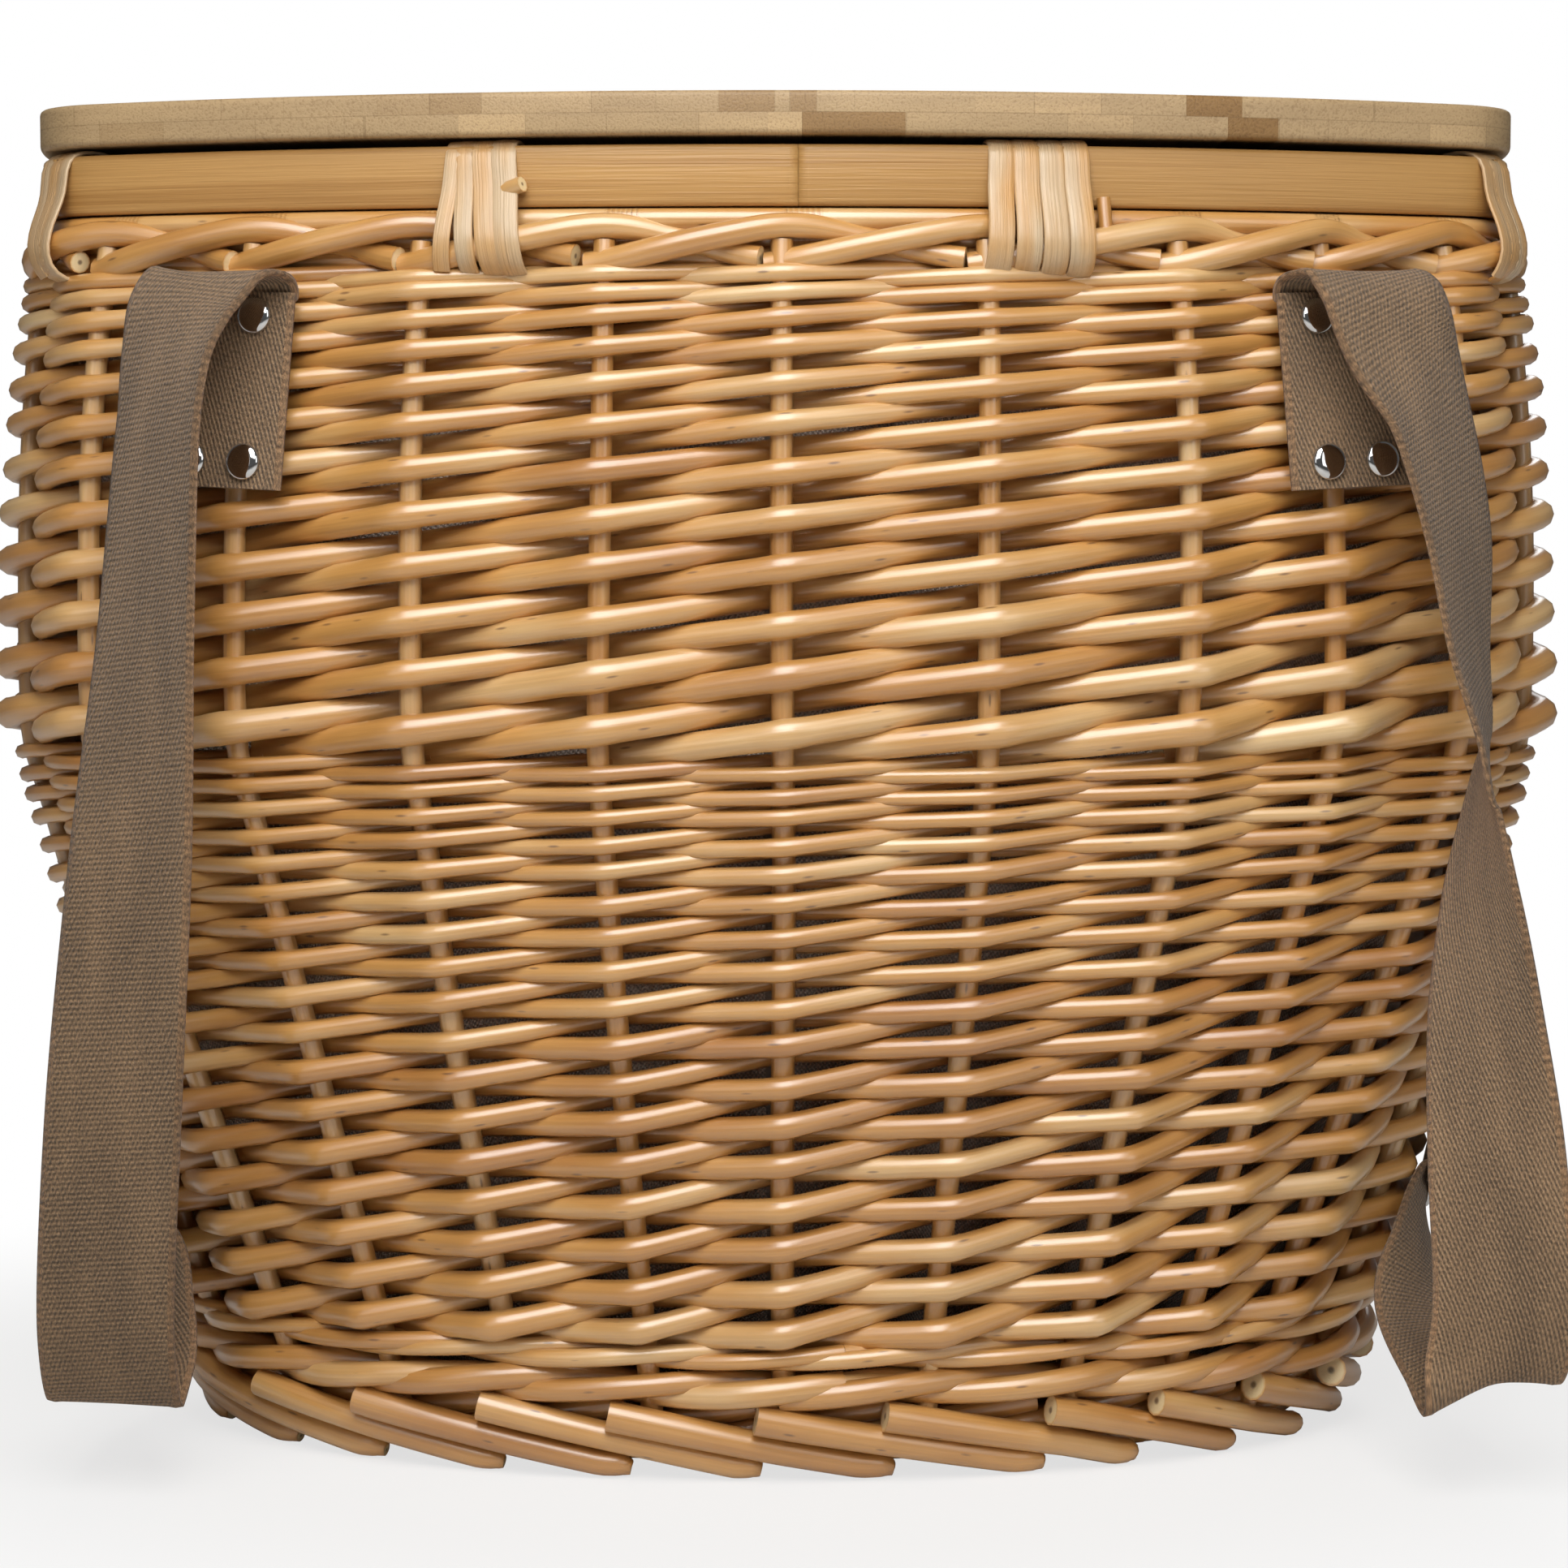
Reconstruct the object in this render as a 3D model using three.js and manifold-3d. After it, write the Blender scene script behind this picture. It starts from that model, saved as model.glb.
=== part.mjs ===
// Willow picnic basket with a lift-off bamboo lid, a pine rim frame and two webbing shoulder straps.
// Millimetres, +Z up. The origin is on the floor under the middle of the basket, the strapped side
// faces -Y and +X is to its right.
import * as THREE from 'three';
import { mergeVertices } from 'three/addons/utils/BufferGeometryUtils.js';
import Module from 'manifold-3d';

const wasm = await Module();
wasm.setup();

// Clearance between pieces that touch
const seatGap = 0.3;

// Plan of the rim frame: a bowed front and back, bowed ends and rounded corners
const rimHalfWidth = 219;
const rimHalfDepth = 122;
const rimFrontRadius = 455;
const rimEndRadius = 300;
const rimCornerRadius = 32;

// Line of the stakes, from the foot out to the waist and in again to the mouth under the rim frame:
// the mouth is set from the frame's outline and the waist from the mouth
const footHalfWidth = 168;
const footHalfDepth = 90;
const mouthInsideFrameEnds = 5;
const mouthInsideFrameFront = 3;
const waistFlareEnds = 9;
const waistFlareFront = 8.5;
const lowerBulge = 2.4;

// Heights of the woven bands
const footBorderHeight = 25.5;
const waleHeight = 17.7;
const lowerBandHeight = 167.4;
const upperBandHeight = 134.7;
const topBorderHeight = 17.7;

// Willow rods: stakes, and weavers that taper from butt to tip within each band
const stakeDiameter = 6;
const lowerButtDiameter = 7.3;
const lowerTipDiameter = 3.3;
const upperButtDiameter = 9.3;
const upperTipDiameter = 4.5;
const borderThickness = 18;
const borderBevelShare = 0.5;
const footBorderThickness = 18;
const waleThickness = 20;

// Places of the stakes over half of the rim, as turns from the middle of the front towards +X. The other
// half repeats them.
const halfStakes = [0.002, 0.0505, 0.099, 0.137, 0.172, 0.211, 0.25, 0.289, 0.328, 0.369, 0.413, 0.4585];

// Rounds of weavers in each band, with the heights of the first and of the others as shares of the band's
// height: over the share s of the rounds, first + rise s - closing s cubed
const lowerRounds = { count: 17, first: 0.008, rise: 1.204, closing: 0.234 };
const upperRounds = { count: 12, first: 0.061, rise: 1.241, closing: 0.305 };

// Woven base and fabric liner
const baseThickness = 10;
const baseFloorClearance = 12;
const linerThickness = 3;
const linerClearance = 1;
const linerHemBelowRailTop = 5;

// Pine rails
const railHeight = 17;
const railThickness = 12;
const frontJointX = 6.5;

// Willow skein bindings that lash the rails to the border
const skeinWidth = 6;
const skeinThickness = 1.5;
const skeinTurns = 4;
const cornerSkeinTurns = 3;
const skeinSpacing = 0.6;
const skeinClearance = 0.6;
const notchSideClearance = 2.4;
const bindingLeftX = -81;
const bindingRightX = 73;

// Bamboo lid and the two cleats that locate it in the mouth
const lidOverhangEnds = 0.5;
const lidOverhangFront = 4;
const lidThickness = 12;
const lidEdgeRound = 2;
const cleatLength = 230;
const cleatWidth = 18;
const cleatHeight = 12;
const cleatMouthClearance = 2.5;
const cleatBevel = 3;

// Webbing straps, riveted to the front wall at the top and to the end walls below
const strapWidth = 40;
const strapThickness = 2;
const strapSeatGap = 0.6;
const leftTabFromRimEnd = 71.5;
const rightTabFromRimEnd = 65.5;
const tabTopBelowBorder = 4;
const tabLength = 56;
const anchorFromMiddle = 14;
const anchorLowZ = 66;
const anchorLength = 52;
const anchorLean = 0.55;

// Dome rivets, two by two on each riveted end
const rivetCapDiameter = 9;
const rivetCapHeight = 2.4;
const rivetShankDiameter = 3;
const rivetHoleClearance = 0.3;
const rivetSpacingAcross = 17;
const rivetSpacingAlong = 41;
const rivetFacets = 8;

// Stations round the rim in each quarter: along the front, round the corner and along the end
const frontStations = 7;
const cornerStations = 4;
const endStations = 4;
const lowerBandLevels = 4;
const upperBandLevels = 3;

// Plan sizes that follow from the rim frame
const mouthHalfWidth = rimHalfWidth - mouthInsideFrameEnds;
const mouthHalfDepth = rimHalfDepth - mouthInsideFrameFront;
const waistHalfWidth = mouthHalfWidth + waistFlareEnds;
const waistHalfDepth = mouthHalfDepth + waistFlareFront;
const lidHalfWidth = rimHalfWidth + lidOverhangEnds;
const lidHalfDepth = rimHalfDepth + lidOverhangFront;

// Levels that follow from the heights
const waleLow = footBorderHeight + seatGap;
const lowerLow = waleLow + waleHeight + seatGap;
const lowerHigh = lowerLow + lowerBandHeight;
const upperLow = lowerHigh + seatGap;
const upperHigh = upperLow + upperBandHeight;
const borderLow = upperHigh + seatGap;
const borderHigh = borderLow + topBorderHeight;
const railLow = borderHigh + seatGap;
const railHigh = railLow + railHeight;
const lidLow = railHigh + skeinClearance + skeinThickness + seatGap;
const lidHigh = lidLow + lidThickness;
const waistZ = lowerHigh;

const lerp = (from, to, share) => from + (to - from) * share;
const evenly = (from, to, count) => Array.from({ length: count }, (_, i) => lerp(from, to, i / (count - 1)));

// One quarter of the rim outline by share of its length, from the middle of the front to the middle
// of the end, as shares of the half width and half depth. Three arcs meet tangentially.
function makeRimQuarter() {
  const frontCentre = new THREE.Vector2(0, rimHalfDepth - rimFrontRadius);
  const endCentre = new THREE.Vector2(rimHalfWidth - rimEndRadius, 0);
  const reachFront = rimFrontRadius - rimCornerRadius;
  const reachEnd = rimEndRadius - rimCornerRadius;
  const apart = frontCentre.distanceTo(endCentre);
  const along = (reachFront ** 2 - reachEnd ** 2 + apart ** 2) / (2 * apart);
  const across = Math.sqrt(reachFront ** 2 - along ** 2);
  const toEnd = endCentre.clone().sub(frontCentre).divideScalar(apart);
  const corner = new THREE.Vector2(
    frontCentre.x + toEnd.x * along + toEnd.y * across,
    frontCentre.y + toEnd.y * along - toEnd.x * across,
  );
  const frontTurn = Math.atan2(corner.x - frontCentre.x, corner.y - frontCentre.y);
  const endTurn = Math.atan2(corner.x - endCentre.x, corner.y - endCentre.y);
  const arcs = [
    { centre: frontCentre, radius: rimFrontRadius, from: 0, to: frontTurn },
    { centre: corner, radius: rimCornerRadius, from: frontTurn, to: endTurn },
    { centre: endCentre, radius: rimEndRadius, from: endTurn, to: Math.PI / 2 },
  ];
  const lengths = arcs.map((arc) => arc.radius * (arc.to - arc.from));
  const whole = lengths[0] + lengths[1] + lengths[2];
  const point = (share) => {
    let left = share * whole;
    let i = 0;
    while (i < 2 && left > lengths[i]) {
      left -= lengths[i];
      i += 1;
    }
    const turn = arcs[i].from + left / arcs[i].radius;
    return new THREE.Vector2(
      (arcs[i].centre.x + arcs[i].radius * Math.sin(turn)) / rimHalfWidth,
      (arcs[i].centre.y + arcs[i].radius * Math.cos(turn)) / rimHalfDepth,
    );
  };
  return { point, whole, cornerFrom: lengths[0] / whole, cornerTo: (lengths[0] + lengths[1]) / whole };
}

// One quarter of the foot ellipse by share of its length, in the same shares
function makeFootQuarter() {
  const steps = 256;
  const lengths = [0];
  const at = (i) => (i / steps) * (Math.PI / 2);
  for (let i = 1; i <= steps; i += 1) {
    const dx = footHalfWidth * (Math.sin(at(i)) - Math.sin(at(i - 1)));
    const dy = footHalfDepth * (Math.cos(at(i)) - Math.cos(at(i - 1)));
    lengths.push(lengths[i - 1] + Math.hypot(dx, dy));
  }
  return (share) => {
    const wanted = share * lengths[steps];
    let i = 1;
    while (i < steps && lengths[i] < wanted) i += 1;
    const part = (wanted - lengths[i - 1]) / (lengths[i] - lengths[i - 1]);
    const turn = lerp(at(i - 1), at(i), part);
    return new THREE.Vector2(Math.sin(turn), Math.cos(turn));
  };
}

const rimQuarter = makeRimQuarter();
const footQuarter = makeFootQuarter();
const rimLength = 4 * rimQuarter.whole;

// Point of a plan outline: turn runs 0 to 1 from the middle of the front towards +X, and squareness
// goes from 0, the foot's ellipse, to 1, the rim's outline.
function planPoint(turn, halfWidth, halfDepth, squareness) {
  const wrapped = turn - Math.floor(turn);
  const quarter = Math.min(3, Math.floor(4 * wrapped));
  const part = 4 * wrapped - quarter;
  const share = quarter % 2 === 0 ? part : 1 - part;
  const shape = footQuarter(share).lerp(rimQuarter.point(share), squareness);
  const sideX = quarter < 2 ? 1 : -1;
  const sideY = quarter === 0 || quarter === 3 ? -1 : 1;
  return new THREE.Vector2(sideX * halfWidth * shape.x, sideY * halfDepth * shape.y);
}

// Half width and half depth of the stake line at a height
function stakeLine(z) {
  if (z <= waistZ) {
    const share = Math.max(0, z / waistZ);
    const bulge = lowerBulge * 4 * share * (1 - share);
    return {
      halfWidth: lerp(footHalfWidth, waistHalfWidth, share) + bulge,
      halfDepth: lerp(footHalfDepth, waistHalfDepth, share) + bulge,
      squareness: share,
    };
  }
  const share = Math.min(1, (z - waistZ) / (borderHigh - waistZ)) ** 3;
  return {
    halfWidth: lerp(waistHalfWidth, mouthHalfWidth, share),
    halfDepth: lerp(waistHalfDepth, mouthHalfDepth, share),
    squareness: 1,
  };
}

// Point at an offset out from the stake line
function wallPoint(turn, z, offset) {
  const line = stakeLine(z);
  const flat = planPoint(turn, line.halfWidth + offset, line.halfDepth + offset, line.squareness);
  return new THREE.Vector3(flat.x, flat.y, z);
}

// Half the wall's thickness: a stake with one weaver outside it
function wallOffset(z) {
  if (z <= lowerHigh) {
    const share = Math.max(0, (z - lowerLow) / lowerBandHeight);
    return stakeDiameter / 2 + lerp(lowerButtDiameter, lowerTipDiameter, share);
  }
  const share = Math.min(1, (z - upperLow) / upperBandHeight);
  return stakeDiameter / 2 + lerp(upperButtDiameter, upperTipDiameter, share);
}

// Turns at which rings are cut: evenly along the front, closer round the corners
function ringTurns() {
  const quarter = [];
  const span = (from, to, count) => {
    for (let i = 0; i < count; i += 1) quarter.push(lerp(from, to, i / count));
  };
  span(0, rimQuarter.cornerFrom, frontStations);
  span(rimQuarter.cornerFrom, rimQuarter.cornerTo, cornerStations);
  span(rimQuarter.cornerTo, 1, endStations);
  const mirrored = quarter.slice(1).reverse().map((share) => 2 - share);
  const half = [...quarter, 1, ...mirrored].map((share) => share / 4);
  return [...half, ...half.map((turn) => turn + 0.5)];
}

// Turn at which the rim frame's outline has a given x, on the front or on the back
function turnAtX(x, onBack) {
  let low = 0;
  let high = 0.25;
  for (let i = 0; i < 40; i += 1) {
    const middle = (low + high) / 2;
    if (planPoint(middle, rimHalfWidth, rimHalfDepth, 1).x < Math.abs(x)) low = middle;
    else high = middle;
  }
  if (onBack) return x < 0 ? 0.5 + low : 0.5 - low;
  return x < 0 ? 1 - low : low;
}

// Closed geometry from points and triangles, turned so that its faces point out
function closedGeometry(points, triangles) {
  let volume = 0;
  for (const [a, b, c] of triangles) {
    volume += points[a].dot(new THREE.Vector3().crossVectors(points[b], points[c]));
  }
  const faces = volume < 0 ? triangles.map(([a, b, c]) => [a, c, b]) : triangles;
  const geometry = new THREE.BufferGeometry();
  const positions = points.flatMap((p) => [p.x, p.y, p.z]);
  geometry.setAttribute('position', new THREE.Float32BufferAttribute(positions, 3));
  geometry.setIndex(faces.flat());
  geometry.computeVertexNormals();
  return geometry;
}

// Skin over rings of equal count. A looped skin joins its last ring to its first, and any other
// skin is capped by fans at both ends.
function loft(rings, looped) {
  const count = rings[0].length;
  const points = rings.flat();
  const triangles = [];
  const joins = looped ? rings.length : rings.length - 1;
  for (let i = 0; i < joins; i += 1) {
    const here = i * count;
    const next = ((i + 1) % rings.length) * count;
    for (let j = 0; j < count; j += 1) {
      const k = (j + 1) % count;
      triangles.push([here + j, here + k, next + k], [here + j, next + k, next + j]);
    }
  }
  if (!looped) {
    const cap = (ring, start, flip) => {
      const middle = ring.reduce((sum, p) => sum.add(p), new THREE.Vector3()).divideScalar(count);
      points.push(middle);
      for (let j = 0; j < count; j += 1) {
        const k = (j + 1) % count;
        const a = start + j;
        const b = start + k;
        triangles.push(flip ? [points.length - 1, a, b] : [points.length - 1, b, a]);
      }
    };
    cap(rings[0], 0, false);
    cap(rings.at(-1), (rings.length - 1) * count, true);
  }
  return closedGeometry(points, triangles);
}

// Solid swept once round the basket. The section of a station lists points [offset, z] from the stake
// line.
function sweepRound(turns, section) {
  const ring = (turn, i) => section(i).map(([offset, z]) => wallPoint(turn, z, offset));
  return loft(turns.map(ring), true);
}

// Solid stacked from plan outlines, each [half width, half depth, z, squareness]
function stackPlans(levels) {
  const turns = ringTurns();
  return loft(levels.map(([halfWidth, halfDepth, z, squareness]) => turns.map((turn) => {
    const flat = planPoint(turn, halfWidth, halfDepth, squareness);
    return new THREE.Vector3(flat.x, flat.y, z);
  })), false);
}

// Section of a plaited border: an octagon round the stake line
function borderSection(low, high, thickness) {
  const half = thickness / 2;
  const bevel = Math.min(half, (high - low) / 2) * borderBevelShare;
  return [
    [half - bevel, low], [half, low + bevel], [half, high - bevel], [half - bevel, high],
    [bevel - half, high], [-half, high - bevel], [-half, low + bevel], [bevel - half, low],
  ];
}

const asManifold = (geometry) => {
  const bare = geometry.clone();
  bare.deleteAttribute('normal');
  bare.deleteAttribute('uv');
  const merged = mergeVertices(bare, 1e-4);
  return new wasm.Manifold(new wasm.Mesh({
    numProp: 3,
    vertProperties: new Float32Array(merged.attributes.position.array),
    triVerts: new Uint32Array(merged.index.array),
  }));
};

const asGeometry = (manifold) => {
  const mesh = manifold.getMesh();
  const geometry = new THREE.BufferGeometry();
  geometry.setAttribute('position', new THREE.Float32BufferAttribute(mesh.vertProperties, 3));
  geometry.setIndex(Array.from(mesh.triVerts));
  geometry.computeVertexNormals();
  return geometry;
};

// Least distance between neighbouring turns of a winding, from point to point of its rings
function leastTurnGap(rings, ringsPerTurn) {
  let least = Infinity;
  for (let i = 0; i + ringsPerTurn < rings.length; i += 1) {
    for (let j = i + ringsPerTurn - 1; j <= Math.min(i + ringsPerTurn + 1, rings.length - 1); j += 1) {
      for (const a of rings[i]) for (const b of rings[j]) least = Math.min(least, a.distanceTo(b));
    }
  }
  return least;
}

const finishes = {
  willow: () => new THREE.MeshStandardMaterial({ color: 0xd9a968, roughness: 0.5 }),
  paleWillow: () => new THREE.MeshStandardMaterial({ color: 0xd2ab78, roughness: 0.5 }),
  skein: () => new THREE.MeshStandardMaterial({ color: 0xe2c9a5, roughness: 0.4 }),
  pine: () => new THREE.MeshStandardMaterial({ color: 0xc8a066, roughness: 0.5 }),
  bamboo: () => new THREE.MeshStandardMaterial({ color: 0xb59a78, roughness: 0.55 }),
  webbing: () => new THREE.MeshStandardMaterial({ color: 0x8f7a62, roughness: 0.9 }),
  liner: () => new THREE.MeshStandardMaterial({ color: 0x6b5d53, roughness: 0.95 }),
  chrome: () => new THREE.MeshStandardMaterial({ color: 0xd6d6d6, roughness: 0.1, metalness: 1 }),
};

const basket = new THREE.Group();
const lid = new THREE.Group();
basket.add(lid);

function addPiece(name, geometry, finish, parent = basket) {
  const mesh = new THREE.Mesh(geometry, finishes[finish]());
  mesh.name = name;
  parent.add(mesh);
  return mesh;
}

// Places where skein bindings lash the rails to the border
const cornerShare = (rimQuarter.cornerFrom + rimQuarter.cornerTo) / 8;
const bindingTurns = {
  binding_front_left: turnAtX(bindingLeftX, false),
  binding_front_right: turnAtX(bindingRightX, false),
  binding_back_left: turnAtX(bindingLeftX, true),
  binding_back_right: turnAtX(bindingRightX, true),
  binding_corner_front_left: 1 - cornerShare,
  binding_corner_front_right: cornerShare,
  binding_corner_back_left: 0.5 + cornerShare,
  binding_corner_back_right: 0.5 - cornerShare,
};
const skeinPitch = skeinWidth + skeinSpacing;
const isCorner = (name) => name.includes('corner');
const turnsOf = (name) => (isCorner(name) ? cornerSkeinTurns : skeinTurns);
const bindingHalfWidth = (name) => (skeinPitch * turnsOf(name) + skeinWidth) / 2;
// The rail's inner face bends away behind a corner binding, which is wound straight
const innerCornerRadius = rimCornerRadius - railThickness;
const cornerSlack = bindingHalfWidth('corner') ** 2 / (2 * innerCornerRadius) + seatGap;

// Plan of the liner at the mouth, inside the rails, the border and their bindings
const behindBinding = cornerSlack + skeinClearance + skeinThickness + seatGap;
const frameInset = railThickness + behindBinding;
const borderInset = borderThickness / 2 + behindBinding;
const linerHalfWidth = Math.min(rimHalfWidth - frameInset, mouthHalfWidth - borderInset);
const linerHalfDepth = Math.min(rimHalfDepth - frameInset, mouthHalfDepth - borderInset);

// Stations of a woven band: at each stake and halfway to the next, and twice as many over a corner. The
// part is the share of the way from stake to stake.
function wovenStations() {
  const stakes = [...halfStakes, ...halfStakes.map((turn) => turn + 0.5)];
  const insideCorner = (turn) => {
    const quarter = Math.floor(4 * turn);
    const share = quarter % 2 === 0 ? 4 * turn - quarter : 1 + quarter - 4 * turn;
    return share > rimQuarter.cornerFrom && share < rimQuarter.cornerTo;
  };
  return stakes.flatMap((turn, i) => {
    const next = i + 1 < stakes.length ? stakes[i + 1] : 1 + stakes[0];
    const parts = insideCorner((turn + next) / 2) ? [0, 0.25, 0.5, 0.75] : [0, 0.5];
    return parts.map((part) => ({ part, turn: lerp(turn, next, part) }));
  });
}

// Band in French randing. A weaver starts at each stake, goes in front of it and behind the next, and
// climbs a round in two stakes. The rows of the outer face follow the weavers, so even rows are crests at
// the stakes and odd rows are hollows down to the stake. The inner face is plain.
function wovenBand(low, high, rounds, firstRow, innerLevels) {
  const lastRow = 2 * (rounds.count - 1);
  const heightAt = (round) => {
    const share = round / (rounds.count - 1);
    return lerp(low, high, rounds.first + rounds.rise * share - rounds.closing * share ** 3);
  };
  const stations = wovenStations();
  const section = (station) => {
    const { part } = stations[station];
    const climb = part > 0.5 ? part - 1 : part;
    const outer = [];
    for (let row = firstRow; row <= lastRow; row += 1) {
      let z = heightAt((row + climb) / 2);
      if (row === firstRow) z = low;
      if (row === lastRow) z = high;
      const weaver = (wallOffset(z) - stakeDiameter / 2) / 2;
      const reach = (stakeDiameter / 2 + weaver) * (1 - 2 * Math.abs(climb));
      const face = row % 2 === 0 ? reach + weaver : weaver - reach;
      outer.push([climb === 0 ? Math.max(face, stakeDiameter / 2) : face, z]);
    }
    const inner = evenly(high, low, innerLevels).map((z) => [-wallOffset(z), z]);
    return [...outer, ...inner];
  };
  return sweepRound(stations.map((station) => station.turn), section);
}

// Woven wall: a foot border, a wale, a lower band, an upper band and a top border. The upper band's
// edge is notched where a binding passes under the border.
function weaveBody() {
  const turns = ringTurns();
  const foot = borderSection(0, footBorderHeight, footBorderThickness);
  addPiece('foot_border', sweepRound(turns, () => foot), 'paleWillow');
  const wale = borderSection(waleLow, waleLow + waleHeight, waleThickness);
  addPiece('foot_wale', sweepRound(turns, () => wale), 'paleWillow');
  const lowerBand = wovenBand(lowerLow, lowerHigh, lowerRounds, 0, lowerBandLevels);
  addPiece('lower_band', lowerBand, 'paleWillow');

  let upperBand = asManifold(wovenBand(upperLow, upperHigh, upperRounds, -1, upperBandLevels));
  const notchDepth = skeinClearance + skeinThickness + seatGap;
  for (const [name, turn] of Object.entries(bindingTurns)) {
    const width = 2 * (bindingHalfWidth(name) + notchSideClearance);
    const notch = new THREE.BoxGeometry(width, 3 * borderThickness, 2 * notchDepth);
    const seat = wallPoint(turn, upperHigh, 0);
    const ahead = wallPoint(turn + 1 / rimLength, upperHigh, 0).sub(seat);
    notch.rotateZ(Math.atan2(ahead.y, ahead.x));
    notch.translate(seat.x, seat.y, seat.z);
    upperBand = upperBand.subtract(asManifold(notch));
  }
  addPiece('upper_band', asGeometry(upperBand), 'willow');

  const border = borderSection(borderLow, borderHigh, borderThickness);
  addPiece('top_border', sweepRound(turns, () => border), 'willow');
}

// Woven base, seated inside the wale, and the liner that stands on it
function makeBaseAndLiner() {
  const low = baseFloorClearance + seatGap;
  const high = low + baseThickness;
  const edge = stakeLine(high);
  const inset = Math.max(waleThickness, footBorderThickness) / 2 + seatGap;
  const plan = (grow) => [edge.halfWidth - inset + grow, edge.halfDepth - inset + grow];
  const floorLine = stakeLine(low);
  const narrower = floorLine.halfWidth - edge.halfWidth;
  addPiece('base_panel', stackPlans([
    [...plan(narrower), low, edge.squareness],
    [...plan(0), high, edge.squareness],
  ]), 'paleWillow');

  const bandInside = (z, extra) => {
    const line = stakeLine(z);
    const offset = wallOffset(z) + linerClearance + extra;
    return [line.halfWidth - offset, line.halfDepth - offset, z, line.squareness];
  };
  const atMouth = (z, extra) => [linerHalfWidth - extra, linerHalfDepth - extra, z, 1];
  const bottom = high + seatGap;
  const hem = railHigh - linerHemBelowRailTop;
  const neck = upperHigh - upperButtDiameter;
  const underBinding = borderLow - skeinClearance - skeinThickness - seatGap;
  const waleInside = (z, extra) => {
    const line = stakeLine(z);
    const offset = waleThickness / 2 + wallOffset(lowerLow) / 2 + linerClearance + extra;
    return [line.halfWidth - offset, line.halfDepth - offset, z, line.squareness];
  };
  const lowerHeights = evenly(lowerLow, lowerHigh, lowerBandLevels).slice(1, -1);
  const settled = upperLow + upperButtDiameter;
  const outer = [
    waleInside(bottom, 0),
    ...lowerHeights.map((z) => bandInside(z, 0)),
    ...[waistZ - upperButtDiameter, settled].map((z) => {
      const line = stakeLine(z);
      const offset = wallOffset(settled) + linerClearance;
      return [line.halfWidth - offset, line.halfDepth - offset, z, line.squareness];
    }),
    bandInside(neck, 0),
    atMouth(underBinding, 0),
    atMouth(hem, 0),
  ];
  const inner = outer.map(([halfWidth, halfDepth, z, squareness], i) => [
    halfWidth - linerThickness,
    halfDepth - linerThickness,
    i === 0 ? z + linerThickness : z,
    squareness,
  ]);
  addPiece('liner', stackPlans([...outer, ...inner.reverse()]), 'liner');
}

// Rails of the rim frame: two halves on the front and on the back, one on each end
function makeRails() {
  const buttGap = seatGap / rimLength;
  const frontJoint = turnAtX(frontJointX, false);
  const backJoint = turnAtX(frontJointX, true);
  const rail = (name, from, to) => {
    const inner = ringTurns()
      .flatMap((turn) => [turn - 1, turn, turn + 1])
      .filter((turn) => turn > from + 4 * buttGap && turn < to - 4 * buttGap)
      .sort((a, b) => a - b);
    const turns = [from + buttGap / 2, ...inner, to - buttGap / 2];
    addPiece(name, loft(turns.map((turn) => {
      const corners = [[0, railLow], [0, railHigh], [-railThickness, railHigh], [-railThickness, railLow]];
      return corners.map(([offset, z]) => {
        const flat = planPoint(turn, rimHalfWidth + offset, rimHalfDepth + offset, 1);
        return new THREE.Vector3(flat.x, flat.y, z);
      });
    }), false), 'pine');
  };
  rail('front_rail_left', -cornerShare, frontJoint);
  rail('front_rail_right', frontJoint, cornerShare);
  rail('end_rail_right', cornerShare, 0.5 - cornerShare);
  rail('back_rail_right', 0.5 - cornerShare, backJoint);
  rail('back_rail_left', backJoint, 0.5 + cornerShare);
  rail('end_rail_left', 0.5 + cornerShare, 1 - cornerShare);
}

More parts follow.
